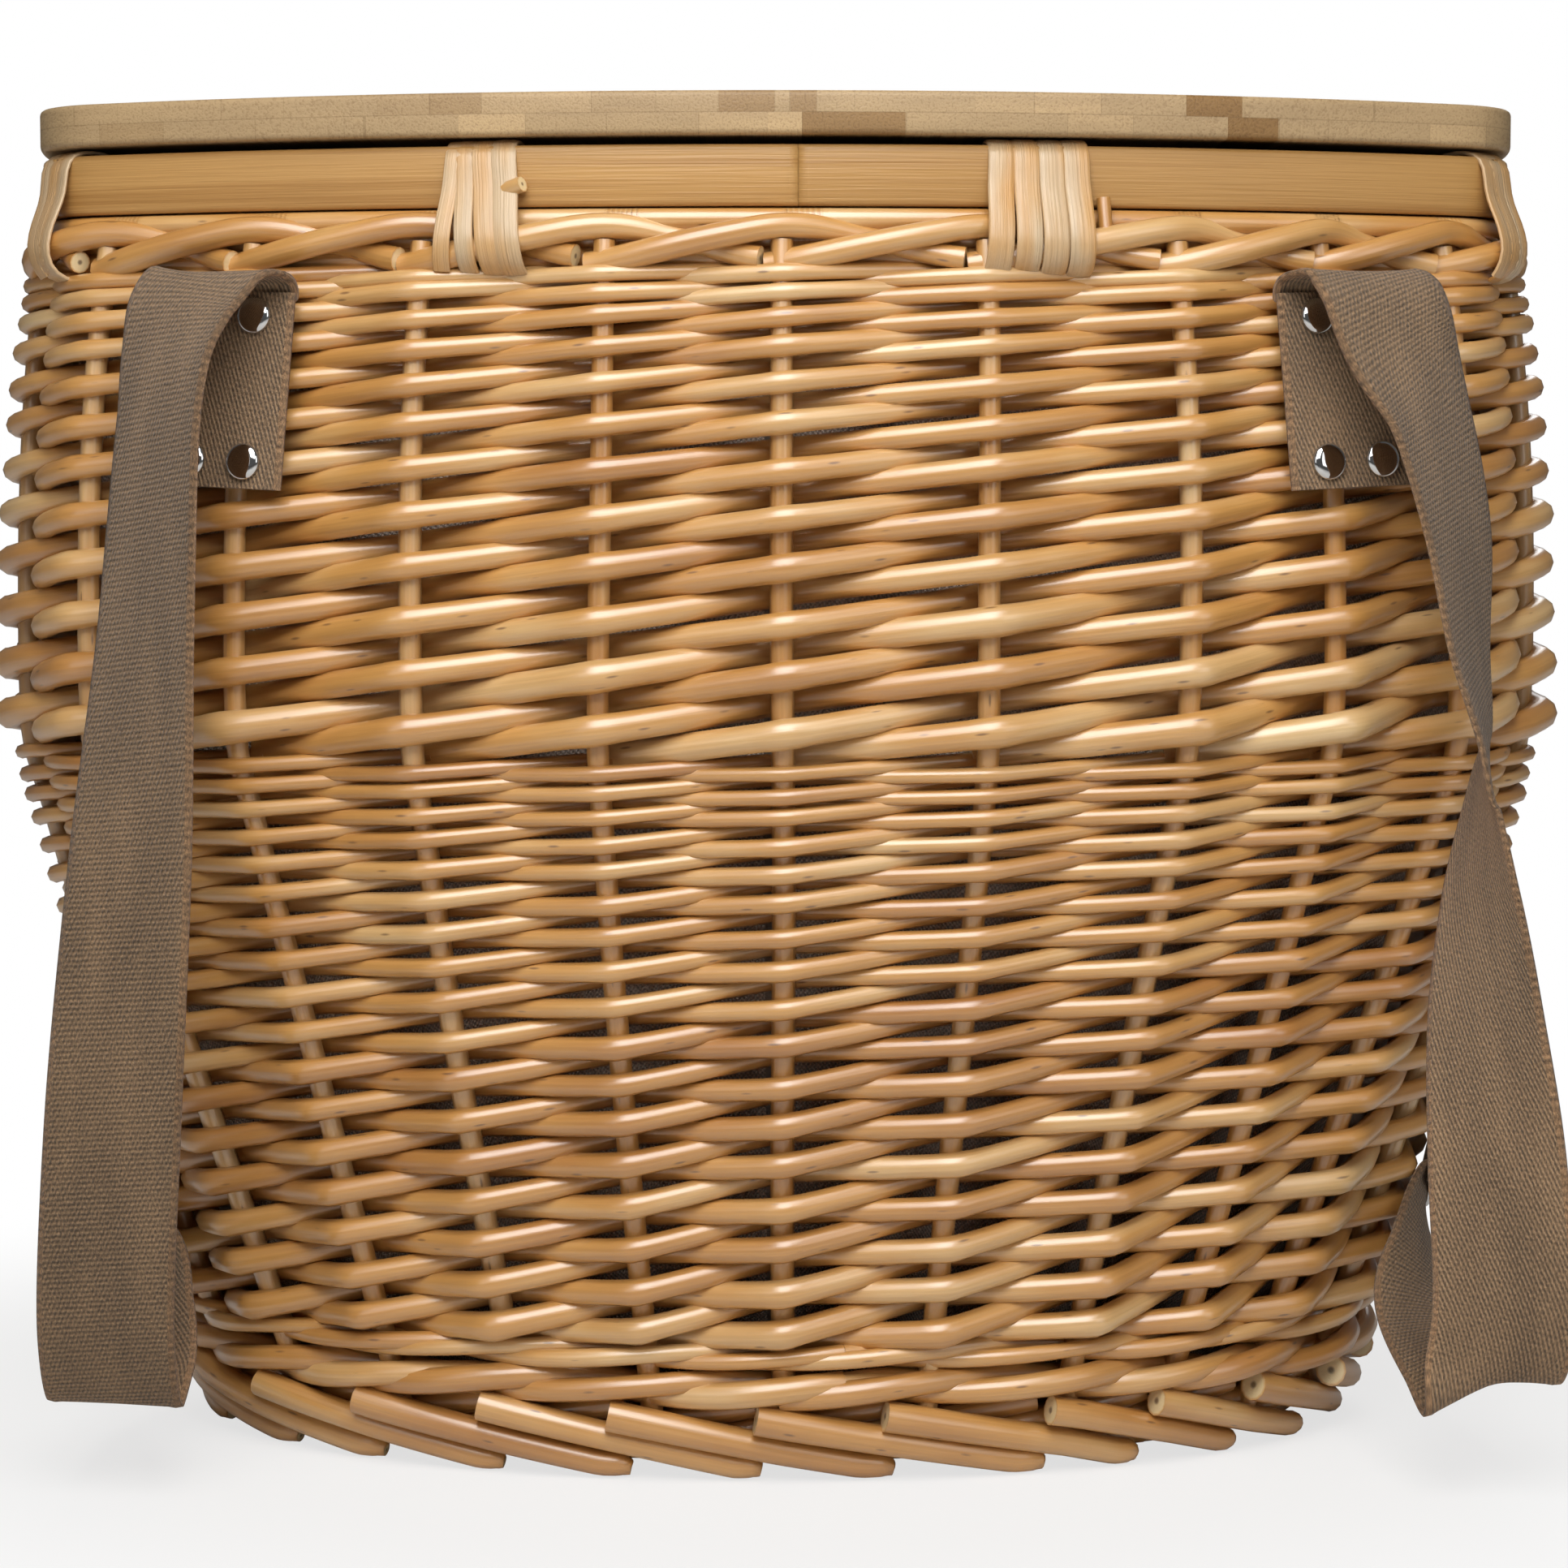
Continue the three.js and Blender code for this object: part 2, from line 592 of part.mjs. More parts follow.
// Skein binding: one flat strip wound round the rail and the border, advancing along the rim
function windBinding(name, turn) {
  const onRail = (offset) => planPoint(turn, rimHalfWidth + offset, rimHalfDepth + offset, 1);
  const onBorder = (z, offset) => {
    const point = wallPoint(turn, z, offset);
    return new THREE.Vector2(point.x, point.y);
  };
  const step = 1 / rimLength;
  const ahead = planPoint(turn + step, rimHalfWidth, rimHalfDepth, 1);
  const behind = planPoint(turn - step, rimHalfWidth, rimHalfDepth, 1);
  const forward = ahead.sub(behind).normalize();
  const outward = new THREE.Vector2(forward.y, -forward.x);
  const seat = onRail(0);
  const reach = (point) => point.sub(seat).dot(outward);
  const half = borderThickness / 2;
  const slack = isCorner(name) ? cornerSlack : seatGap;
  const hull = [
    [reach(onRail(0)), railHigh],
    [reach(onRail(-railThickness)) - slack, railHigh],
    [Math.min(reach(onBorder(borderLow, -half)), reach(onRail(-railThickness))) - slack, borderLow],
    [reach(onBorder(borderLow, half)), borderLow],
    [reach(onBorder(borderHigh, half)), borderHigh],
  ];
  const away = skeinClearance + skeinThickness / 2;
  const route = [];
  hull.forEach((corner, i) => {
    const before = hull[(i + hull.length - 1) % hull.length];
    const after = hull[(i + 1) % hull.length];
    const normal = (from, to) => {
      const run = new THREE.Vector2(to[0] - from[0], to[1] - from[1]).normalize();
      return new THREE.Vector2(run.y, -run.x);
    };
    [normal(before, corner), normal(corner, after)].forEach((n) => {
      route.push({ r: corner[0] + n.x * away, z: corner[1] + n.y * away, n });
    });
  });
  const legs = route.map((stop, i) => {
    const next = route[(i + 1) % route.length];
    return Math.hypot(next.r - stop.r, next.z - stop.z);
  });
  const girth = legs.reduce((sum, leg) => sum + leg, 0);
  const rings = [];
  let wound = 0;
  for (let i = 0; i <= route.length * turnsOf(name); i += 1) {
    const stop = route[i % route.length];
    const slide = (wound / girth - turnsOf(name) / 2) * skeinPitch;
    wound += legs[i % route.length];
    const ring = [[-1, -1], [1, -1], [1, 1], [-1, 1]].map(([side, face]) => {
      const along = slide + side * skeinWidth / 2;
      const r = stop.r + face * stop.n.x * skeinThickness / 2;
      const z = stop.z + face * stop.n.y * skeinThickness / 2;
      const x = seat.x + outward.x * r + forward.x * along;
      const y = seat.y + outward.y * r + forward.y * along;
      return new THREE.Vector3(x, y, z);
    });
    rings.push(ring);
  }
  console.log(`${name} least gap between turns ${leastTurnGap(rings, route.length).toFixed(2)} mm`);
  addPiece(name, loft(rings, false), 'skein');
}

// Bamboo lid with rounded edges, and the cleats under it
function makeLid() {
  const plan = (inset, z) => [lidHalfWidth - inset, lidHalfDepth - inset, z, 1];
  addPiece('lid_board', stackPlans([
    plan(lidEdgeRound, lidLow),
    plan(0, lidLow + lidEdgeRound),
    plan(0, lidHigh - lidEdgeRound),
    plan(lidEdgeRound, lidHigh),
  ]), 'bamboo', lid);
  const mouthHalf = [linerHalfWidth - linerThickness, linerHalfDepth - linerThickness];
  const endTurn = turnAtX((cleatLength / 2) * (rimHalfWidth / mouthHalf[0]), false);
  const depthAtEnd = -planPoint(endTurn, mouthHalf[0], mouthHalf[1], 1).y;
  const offset = depthAtEnd - cleatMouthClearance - cleatWidth / 2;
  const profile = new THREE.Shape();
  profile.moveTo(-cleatLength / 2, 0);
  profile.lineTo(cleatLength / 2, 0);
  profile.lineTo(cleatLength / 2, cleatBevel - cleatHeight);
  profile.lineTo(cleatLength / 2 - cleatBevel, -cleatHeight);
  profile.lineTo(cleatBevel - cleatLength / 2, -cleatHeight);
  profile.lineTo(-cleatLength / 2, cleatBevel - cleatHeight);
  for (const [name, side] of [['lid_cleat_front', -1], ['lid_cleat_back', 1]]) {
    const geometry = new THREE.ExtrudeGeometry(profile, { depth: cleatWidth, bevelEnabled: false });
    geometry.translate(0, 0, -cleatWidth / 2);
    geometry.rotateX(Math.PI / 2);
    const cleat = addPiece(name, geometry, 'pine', lid);
    cleat.position.set(0, side * offset, lidLow - seatGap);
  }
}

// Frame of a riveted strap end on the wall: along it, across it and out from the wall
function wallFrame(turn, z, lean) {
  const step = 1;
  const across = wallPoint(turn + step / rimLength, z, wallOffset(z))
    .sub(wallPoint(turn - step / rimLength, z, wallOffset(z))).normalize();
  const rise = wallPoint(turn, z + step, wallOffset(z + step))
    .sub(wallPoint(turn, z - step, wallOffset(z - step))).normalize();
  const out = new THREE.Vector3().crossVectors(across, rise).normalize();
  const along = rise.clone().addScaledVector(across, lean).normalize();
  const side = new THREE.Vector3().crossVectors(along, out).normalize();
  const seat = wallPoint(turn, z, wallOffset(z));
  return { seat, across, along, side, out };
}

// Strap: one flat band through stations that each give a point and the direction of its width
function sweepStrap(stations) {
  const curve = new THREE.CatmullRomCurve3(stations.map((s) => s.point), false, 'centripetal');
  const parts = 3;
  const rings = [];
  const steps = (stations.length - 1) * parts;
  for (let i = 0; i <= steps; i += 1) {
    const here = Math.min(stations.length - 2, Math.floor(i / parts));
    const share = i / parts - here;
    const point = curve.getPoint(i / steps);
    const tangent = curve.getTangent(i / steps);
    const width = stations[here].width.clone().lerp(stations[here + 1].width, share);
    width.addScaledVector(tangent, -width.dot(tangent)).normalize();
    const face = new THREE.Vector3().crossVectors(tangent, width);
    rings.push([[-1, -1], [1, -1], [1, 1], [-1, 1]].map(([side, skin]) => point.clone()
      .addScaledVector(width, side * strapWidth / 2)
      .addScaledVector(face, skin * strapThickness / 2)));
  }
  return loft(rings, false);
}

// Free run of each strap: it folds over at the top, drops in front and comes back up behind to the end
// wall. Each station gives a height, the distance along the rim from the riveted tab towards the end,
// the distance out from the wall, the width's turn in degrees from the wall's tangent and its dip.
// Heights of the drop are from the tab's top edge, those of the return from the floor. The left strap
// hangs flat and faces the front, and the right strap turns over once on its way down.
const leftRun = {
  drop: [
    [1.6, 0, 3.6, 0, 0],
    [3.3, 0.5, 8.5, 0, 0],
    [2.8, 2, 15, 3, 0],
    [-4, 5, 20, 12, 0],
    [-17, 7, 22.4, 24, 0],
    [-38, 8, 22.2, 28, 0],
    [-101, 9.6, 21.5, 19.2, 0],
    [-157, 16.4, 33.7, 2.2, 0],
  ],
  back: [
    [108.5, 29.5, 52.4, -17.8, 0],
    [47.5, 40.5, 64.2, -24, 0],
    [27.5, 47, 61, -25, 0],
    [32.5, 52, 49, -20, 0],
    [42, 66, 27, 0, 0.15],
    [52, 82, 10, 0, 0.4],
  ],
};
const rightRun = {
  drop: [
    [1.6, 0, 3.6, 0, 0],
    [3.3, 0.5, 8.5, 0, 0],
    [3.3, 2, 15, -1, 0],
    [-1.5, 3.2, 20, -3, 0],
    [-16, 6.2, 22.4, -7, 0],
    [-34, 12, 23, -24.5, 0],
    [-67, 17.5, 24.5, -31, 0],
    [-101, 20, 24.5, -42, 0],
    [-128, 23.5, 25.5, -54, 0],
    [-142, 28, 29.5, -66.5, 0],
    [-169, 31.3, 34, -85, 0],
  ],
  back: [
    [140.5, 34, 45, -102.8, 0],
    [95.5, 38.5, 62, -123, 0],
    [51.5, 44, 74, -130, -0.3],
    [33.5, 47, 71, -132, -0.42],
    [38.5, 50.5, 58, -138, -0.38],
    [44, 64, 31, -150, 0.15],
    [52, 79, 17, -164, 0.55],
  ],
};

// Rivet with a domed cap, a shank through the webbing and its axis along local z
function rivetGeometry() {
  const cap = rivetCapDiameter / 2;
  const shank = rivetShankDiameter / 2;
  const depth = strapSeatGap + strapThickness;
  const profile = [
    [0, -depth], [shank, -depth], [shank, 0], [cap, 0], [cap, rivetCapHeight * 0.25],
    [cap * 0.8, rivetCapHeight * 0.75], [cap * 0.4, rivetCapHeight * 0.96], [0, rivetCapHeight],
  ];
  const geometry = new THREE.LatheGeometry(profile.map(([r, z]) => new THREE.Vector2(r, z)), rivetFacets);
  return geometry.rotateX(Math.PI / 2);
}

function makeStrap(sideName, turnSign, tabFromRimEnd, run) {
  const tabTurn = turnAtX(turnSign * (rimHalfWidth - tabFromRimEnd), false);
  const tabHigh = borderLow - tabTopBelowBorder;
  const anchorTurn = turnSign > 0 ? 0.25 - anchorFromMiddle / rimLength : 0.75 + anchorFromMiddle / rimLength;
  const tab = wallFrame(tabTurn, tabHigh - tabLength / 2, 0);
  const anchor = wallFrame(anchorTurn, anchorLowZ + anchorLength / 2, turnSign * anchorLean);
  const onEnd = (frame, along, width) => ({
    point: frame.seat.clone()
      .addScaledVector(frame.along, along)
      .addScaledVector(frame.out, strapSeatGap + strapThickness / 2),
    width,
  });
  const ends = (length) => [-0.5, -0.45, 0, 0.45, 0.5].map((share) => share * length);
  const heights = [
    ...run.drop.map(([height, ...rest]) => [tabHigh + height, ...rest]),
    ...run.back,
  ];
  const free = heights.map(([z, along, out, yaw, dip]) => {
    const frame = wallFrame(tabTurn + turnSign * along / rimLength, z, 0);
    const level = new THREE.Vector3(frame.across.y, -frame.across.x, 0);
    const turned = THREE.MathUtils.degToRad(yaw);
    return {
      point: frame.seat.clone().addScaledVector(level, out),
      width: new THREE.Vector3(0, 0, dip)
        .addScaledVector(frame.across, Math.cos(turned))
        .addScaledVector(level, Math.sin(turned)),
    };
  });
  const anchorWidth = anchor.side.clone();
  if (anchorWidth.dot(free.at(-1).width) < 0) anchorWidth.negate();
  const stations = [
    ...ends(tabLength).map((along) => onEnd(tab, along, tab.side)),
    ...free,
    ...ends(anchorLength).map((along) => onEnd(anchor, along, anchorWidth)),
  ];
  let strap = asManifold(sweepStrap(stations));
  const rivets = [];
  for (const [place, frame] of [['top', tab], ['anchor', anchor]]) {
    const turned = new THREE.Matrix4().makeBasis(
      frame.side,
      new THREE.Vector3().crossVectors(frame.out, frame.side),
      frame.out,
    );
    for (const [row, up] of [['upper', 1], ['lower', -1]]) {
      for (const [column, across] of [['left', -1], ['right', 1]]) {
        const foot = frame.seat.clone()
          .addScaledVector(frame.along, up * rivetSpacingAlong / 2)
          .addScaledVector(frame.side, across * rivetSpacingAcross / 2)
          .addScaledVector(frame.out, strapSeatGap + strapThickness + seatGap);
        const hole = new THREE.CylinderGeometry(
          rivetShankDiameter / 2 + rivetHoleClearance,
          rivetShankDiameter / 2 + rivetHoleClearance,
          4 * strapThickness,
          8,
        );
        hole.rotateX(Math.PI / 2);
        hole.applyMatrix4(turned);
        hole.translate(foot.x, foot.y, foot.z);
        strap = strap.subtract(asManifold(hole));
        rivets.push({ name: `${sideName}_${place}_rivet_${row}_${column}`, foot, turned });
      }
    }
  }
  addPiece(`${sideName}_strap`, asGeometry(strap), 'webbing');
  for (const { name, foot, turned } of rivets) {
    const rivet = addPiece(name, rivetGeometry(), 'chrome');
    rivet.position.copy(foot);
    rivet.quaternion.setFromRotationMatrix(turned);
  }
}

weaveBody();
makeBaseAndLiner();
makeRails();
for (const [name, turn] of Object.entries(bindingTurns)) windBinding(name, turn);
makeLid();
makeStrap('left', -1, leftTabFromRimEnd, leftRun);
makeStrap('right', 1, rightTabFromRimEnd, rightRun);

export default basket;
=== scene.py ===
"""Willow picnic basket with a bamboo lid, a pine rim frame, skein bindings and two webbing straps."""
import itertools
import math

import bpy
import numpy as np
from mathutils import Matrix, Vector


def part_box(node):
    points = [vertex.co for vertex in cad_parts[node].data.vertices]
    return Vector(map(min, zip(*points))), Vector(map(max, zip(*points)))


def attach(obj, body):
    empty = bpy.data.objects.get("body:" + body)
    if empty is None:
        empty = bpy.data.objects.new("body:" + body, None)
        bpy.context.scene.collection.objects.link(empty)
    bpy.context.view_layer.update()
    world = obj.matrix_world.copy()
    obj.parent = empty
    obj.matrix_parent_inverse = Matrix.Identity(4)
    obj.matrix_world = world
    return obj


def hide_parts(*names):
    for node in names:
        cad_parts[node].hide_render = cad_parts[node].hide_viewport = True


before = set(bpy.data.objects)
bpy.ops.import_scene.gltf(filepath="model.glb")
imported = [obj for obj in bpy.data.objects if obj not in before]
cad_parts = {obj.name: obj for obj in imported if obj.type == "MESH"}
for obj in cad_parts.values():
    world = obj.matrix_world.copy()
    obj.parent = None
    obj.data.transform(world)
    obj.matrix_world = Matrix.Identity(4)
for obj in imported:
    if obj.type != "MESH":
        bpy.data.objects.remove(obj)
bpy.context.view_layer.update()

bl_info = {
    "name": "Willow picnic basket",
    "version": (1, 0, 0),
    "blender": (4, 5, 0),
    "location": "3D View > Sidebar > Basket",
    "description": "Builds a woven willow picnic basket with a lift-off bamboo lid",
    "category": "Add Mesh",
}

LOWER_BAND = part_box("lower_band")
UPPER_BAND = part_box("upper_band")
MM = 0.001
WHITE = (1, 1, 1)
BLACK = (0, 0, 0)

# Places of the upright stakes over half of the rim, as shares of the whole rim from the middle of the
# front towards +X. The other half repeats them.
HALF_STAKES = np.array([
    0.002, 0.0505, 0.099, 0.137, 0.172, 0.211, 0.25, 0.289, 0.328, 0.369, 0.413, 0.4585])
STAKE_TURNS = np.concatenate([HALF_STAKES, HALF_STAKES + 0.5])


def linear(text):
    """Linear colour of an sRGB hex colour."""
    part = np.array([int(text[i:i + 2], 16) / 255 for i in (1, 3, 5)])
    return tuple(np.where(part <= 0.04045, part / 12.92, ((part + 0.055) / 1.055) ** 2.4))


def size_of(name, millimetres, description):
    """Length property given in millimetres."""
    return bpy.props.FloatProperty(
        name=name, description=description, default=millimetres * MM, unit="LENGTH", precision=4)


def colour_of(name, text, description):
    """Colour property given as an sRGB hex colour."""
    return bpy.props.FloatVectorProperty(
        name=name, description=description, default=linear(text), subtype="COLOR", size=3, min=0, max=1)


class BasketShape(bpy.types.PropertyGroup):
    """Sizes of the woven body and of what stands on it."""

    rim_width: size_of("Rim half width", 219, "Half width of the rim frame's outline")
    rim_depth: size_of("Rim half depth", 122, "Half depth of the rim frame's outline")
    rim_front_radius: size_of("Front bow", 455, "Radius of the rim's bowed front and back")
    rim_end_radius: size_of("End bow", 300, "Radius of the rim's bowed ends")
    rim_corner_radius: size_of("Corner radius", 32, "Radius of the rim's corners")
    foot_width: size_of("Foot half width", 168, "Half width of the stake line at the foot")
    foot_depth: size_of("Foot half depth", 90, "Half depth of the stake line at the foot")
    waist_width: size_of("Waist half width", 223, "Half width of the stake line at the waist")
    waist_depth: size_of("Waist half depth", 127.5, "Half depth of the stake line at the waist")
    mouth_width: size_of("Mouth half width", 214, "Half width of the stake line at the rim")
    mouth_depth: size_of("Mouth half depth", 119, "Half depth of the stake line at the rim")
    bulge: size_of("Lower bulge", 2.4, "Outward bow of the lower band")
    waist_height: size_of("Waist height", 211.2, "Height of the waist above the floor")
    mouth_height: size_of("Mouth height", 364.2, "Height of the top border's upper edge")
    stake: size_of("Stake diameter", 6, "Diameter of the upright stakes")
    upper_butt: size_of("Upper butt diameter", 8.9, "Diameter of the upper band's rods where they start")
    upper_tip: size_of("Upper tip diameter", 4.5, "Diameter of the upper band's rods where they end")
    lower_butt: size_of("Lower butt diameter", 8, "Diameter of the lower band's rods where they start")
    lower_tip: size_of("Lower tip diameter", 4.1, "Diameter of the lower band's rods where they end")
    border_rod: size_of("Border rod diameter", 7.3, "Diameter of the top border's rods")
    foot_rod: size_of("Foot rod diameter", 9.2, "Diameter of the foot border's rods")
    rail_thickness: size_of("Rail thickness", 12, "Thickness of the pine rails")
    skein_thickness: size_of("Skein thickness", 1.4, "Thickness of the willow skein")
    strap_width: size_of("Strap width", 40, "Width of the webbing")
    strap_thickness: size_of("Strap thickness", 2, "Thickness of the webbing")
    rivet_cap: size_of("Rivet cap", 10.4, "Diameter of a rivet's domed cap")


class BasketColours(bpy.types.PropertyGroup):
    """Colours of the materials."""

    willow_dark: colour_of("Willow, dark", "#ae7436", "Darkest tone of the peeled willow")
    willow_mid: colour_of("Willow, middle", "#cc9650", "Middle tone of the peeled willow")
    willow_light: colour_of("Willow, light", "#e4c38d", "Lightest tone of the peeled willow")
    knot: colour_of("Knots", "#6b4526", "Knots and flecks on the rods")
    cut: colour_of("Cut ends", "#e6cfa0", "Freshly cut end of a rod")
    pith: colour_of("Pith", "#7d6a50", "Pith in the middle of a cut end")
    skein: colour_of("Skein", "#c9ae89", "Split willow of the bindings")
    pine: colour_of("Pine", "#b98f55", "Varnished pine rails")
    pine_grain: colour_of("Pine grain", "#a97e46", "Late wood lines of the pine")
    bamboo: colour_of("Bamboo", "#b1966f", "Bamboo strips of the lid")
    bamboo_dark: colour_of("Bamboo, dark", "#8d6b3f", "Darker, steamed bamboo strips")
    webbing: colour_of("Webbing", "#775f45", "Cotton webbing of the straps")
    # The liner's colour is painted paler than the cloth: painted light, so that the lining seen in the shaded
    # gaps of the weave reads lighter.
    liner: colour_of("Liner", "#cbb9aa", "Lining cloth")
    chrome: colour_of("Chrome", "#d9d9d9", "Chrome of the rivets")
    floor: colour_of("Floor", "#dcdad6", "Plain pale floor")


# Plan and wall of the basket

def rim_quarter(share, shape):
    """Quarter of the rim outline by share of its length, from the middle of the front to the middle of the
    end, as shares of the half width and depth: three arcs that meet tangentially."""
    front = np.array([0, shape.rim_depth - shape.rim_front_radius])
    end = np.array([shape.rim_width - shape.rim_end_radius, 0])
    to_front = shape.rim_front_radius - shape.rim_corner_radius
    to_end = shape.rim_end_radius - shape.rim_corner_radius
    apart = np.hypot(*(end - front))
    along = (to_front ** 2 - to_end ** 2 + apart ** 2) / (2 * apart)
    across = math.sqrt(to_front ** 2 - along ** 2)
    way = (end - front) / apart
    corner = front + way * along + np.array([way[1], -way[0]]) * across
    turn_a = math.atan2(*(corner - front))
    turn_b = math.atan2(*(corner - end))
    arcs = [(front, shape.rim_front_radius, 0, turn_a), (corner, shape.rim_corner_radius, turn_a, turn_b),
            (end, shape.rim_end_radius, turn_b, math.pi / 2)]
    lengths = np.array([radius * (high - low) for _, radius, low, high in arcs])
    starts = np.concatenate([[0], np.cumsum(lengths)[:2]])
    left = np.asarray(share) * lengths.sum()
    pick = np.clip(np.searchsorted(starts, left, side="right") - 1, 0, 2)
    radius = np.array([arc[1] for arc in arcs])[pick]
    turn = np.array([arc[2] for arc in arcs])[pick] + (left - starts[pick]) / radius
    centre = np.array([arc[0] for arc in arcs])[pick]
    return (np.stack([(centre[..., 0] + radius * np.sin(turn)) / shape.rim_width,
                      (centre[..., 1] + radius * np.cos(turn)) / shape.rim_depth], -1), lengths)


def rim_length(shape):
    """Length of the whole rim outline, and the turn at the middle of its first corner."""
    _, lengths = rim_quarter(np.array([0.0]), shape)
    whole = 4 * lengths.sum()
    return whole, (lengths[0] + lengths[1] / 2) / whole


def foot_quarter(share, shape):
    """Quarter of the foot ellipse by share of its length, in the same shares."""
    turns = np.linspace(0, math.pi / 2, 1025)
    steps = np.hypot(np.diff(shape.foot_width * np.sin(turns)), np.diff(shape.foot_depth * np.cos(turns)))
    lengths = np.concatenate([[0], np.cumsum(steps)])
    turn = np.interp(np.asarray(share) * lengths[-1], lengths, turns)
    return np.stack([np.sin(turn), np.cos(turn)], -1)


def plan(turn, half_width, half_depth, squareness, shape):
    """Points of a plan outline. Turn runs 0 to 1 from the middle of the front towards +X, and squareness
    from 0, the foot's ellipse, to 1, the rim's outline."""
    wrapped = np.mod(turn, 1.0)
    quarter = np.minimum(3, np.floor(4 * wrapped))
    part = 4 * wrapped - quarter
    share = np.where(quarter % 2 == 0, part, 1 - part)
    foot = foot_quarter(share, shape)
    form = foot + (rim_quarter(share, shape)[0] - foot) * np.asarray(squareness)[..., None]
    side_x = np.where(quarter < 2, 1, -1)
    side_y = np.where((quarter == 0) | (quarter == 3), -1, 1)
    return np.stack([side_x * half_width * form[..., 0], side_y * half_depth * form[..., 1]], -1)


def rim_plan(turn, inset, shape):
    """Points of the rim outline moved in by an inset."""
    turn, inset = np.broadcast_arrays(turn, inset)
    return plan(turn, shape.rim_width - inset, shape.rim_depth - inset, np.ones(turn.shape), shape)


def stake_line(z, shape):
    """Half width, half depth and squareness of the stake line at heights: straight with a small bulge up
    to the waist, then in to the mouth with the cube of the height."""
    low = np.clip(z / shape.waist_height, 0, 1)
    bulge = shape.bulge * 4 * low * (1 - low)
    high = np.clip((z - shape.waist_height) / (shape.mouth_height - shape.waist_height), 0, 1) ** 3
    width = shape.foot_width + (shape.waist_width - shape.foot_width) * low + bulge
    depth = shape.foot_depth + (shape.waist_depth - shape.foot_depth) * low + bulge
    width = width + (shape.mouth_width - shape.waist_width) * high
    depth = depth + (shape.mouth_depth - shape.waist_depth) * high
    return width, depth, low


def wall(turn, z, offset, shape):
    """Points at an offset out from the stake line."""
    z = np.broadcast_to(z, np.broadcast(turn, z, offset).shape)
    width, depth, squareness = stake_line(z, shape)
    flat = plan(np.broadcast_to(turn, z.shape), width + offset, depth + offset, squareness, shape)
    return np.concatenate([flat, z[..., None]], -1)


def wall_offset(z, shape):
    """Half the wall's thickness: half a stake and one weaver, which tapers within each band."""
    weavers = []
    for (low, high), butt, tip in ((LOWER_BAND, shape.lower_butt, shape.lower_tip),
                                   (UPPER_BAND, shape.upper_butt, shape.upper_tip)):
        weavers.append(butt + (tip - butt) * np.clip((z - low.z) / (high.z - low.z), 0, 1))
    return shape.stake / 2 + np.where(z <= shape.waist_height, *weavers)


def stake_turn(index):
    """Turn at a stake's number, with fractions between stakes and whole rounds beyond the last."""
    count = len(STAKE_TURNS)
    numbers = np.arange(-2 * count, 4 * count)
    turns = STAKE_TURNS[numbers % count] + numbers // count
    return np.interp(index, numbers, turns)


def unit(vectors):
    """Vectors of length one."""
    return vectors / np.maximum(np.linalg.norm(vectors, axis=-1, keepdims=True), 1e-12)


def run_length(points):
    """Length from the start to each point of paths of shape (..., steps, 3)."""
    steps = np.linalg.norm(np.diff(points, axis=-2), axis=-1)
    return np.concatenate([np.zeros((*steps.shape[:-1], 1)), np.cumsum(steps, -1)], -1)


def resampled(places, known, columns):
    """Columns of values at new places, straight between the known ones."""
    return np.stack([np.interp(places, known, column) for column in columns.T], -1)


def smoothed(columns, kernel):
    """Columns of values, each averaged with its neighbours by the weights of a kernel."""
    half = len(kernel) // 2
    wide = np.pad(columns, ((half, half), (0, 0)), mode="edge")
    return np.stack([np.convolve(column, kernel / kernel.sum(), "valid") for column in wide.T], -1)


# Meshes

def add_mesh(name, mesh, material, body, replaces):
    """Object of a mesh, given as points, faces and attributes, that rides on a body and stands for CAD
    nodes."""
    points, faces, attributes = mesh
    made = bpy.data.meshes.new(name)
    made.from_pydata(points, [], faces)
    for key, values in attributes.items():
        kind, field = ("FLOAT_VECTOR", "vector") if values.ndim == 2 else ("FLOAT", "value")
        layer = made.attributes.new(key, kind, "POINT")
        layer.data.foreach_set(field, np.ascontiguousarray(values, dtype=np.float32).ravel())
    made.shade_smooth()
    made.materials.append(material)
    made.validate()
    piece = bpy.data.objects.new(name, made)
    bpy.context.scene.collection.objects.link(piece)
    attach(piece, body)
    if replaces:
        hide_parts(*replaces)
    return piece


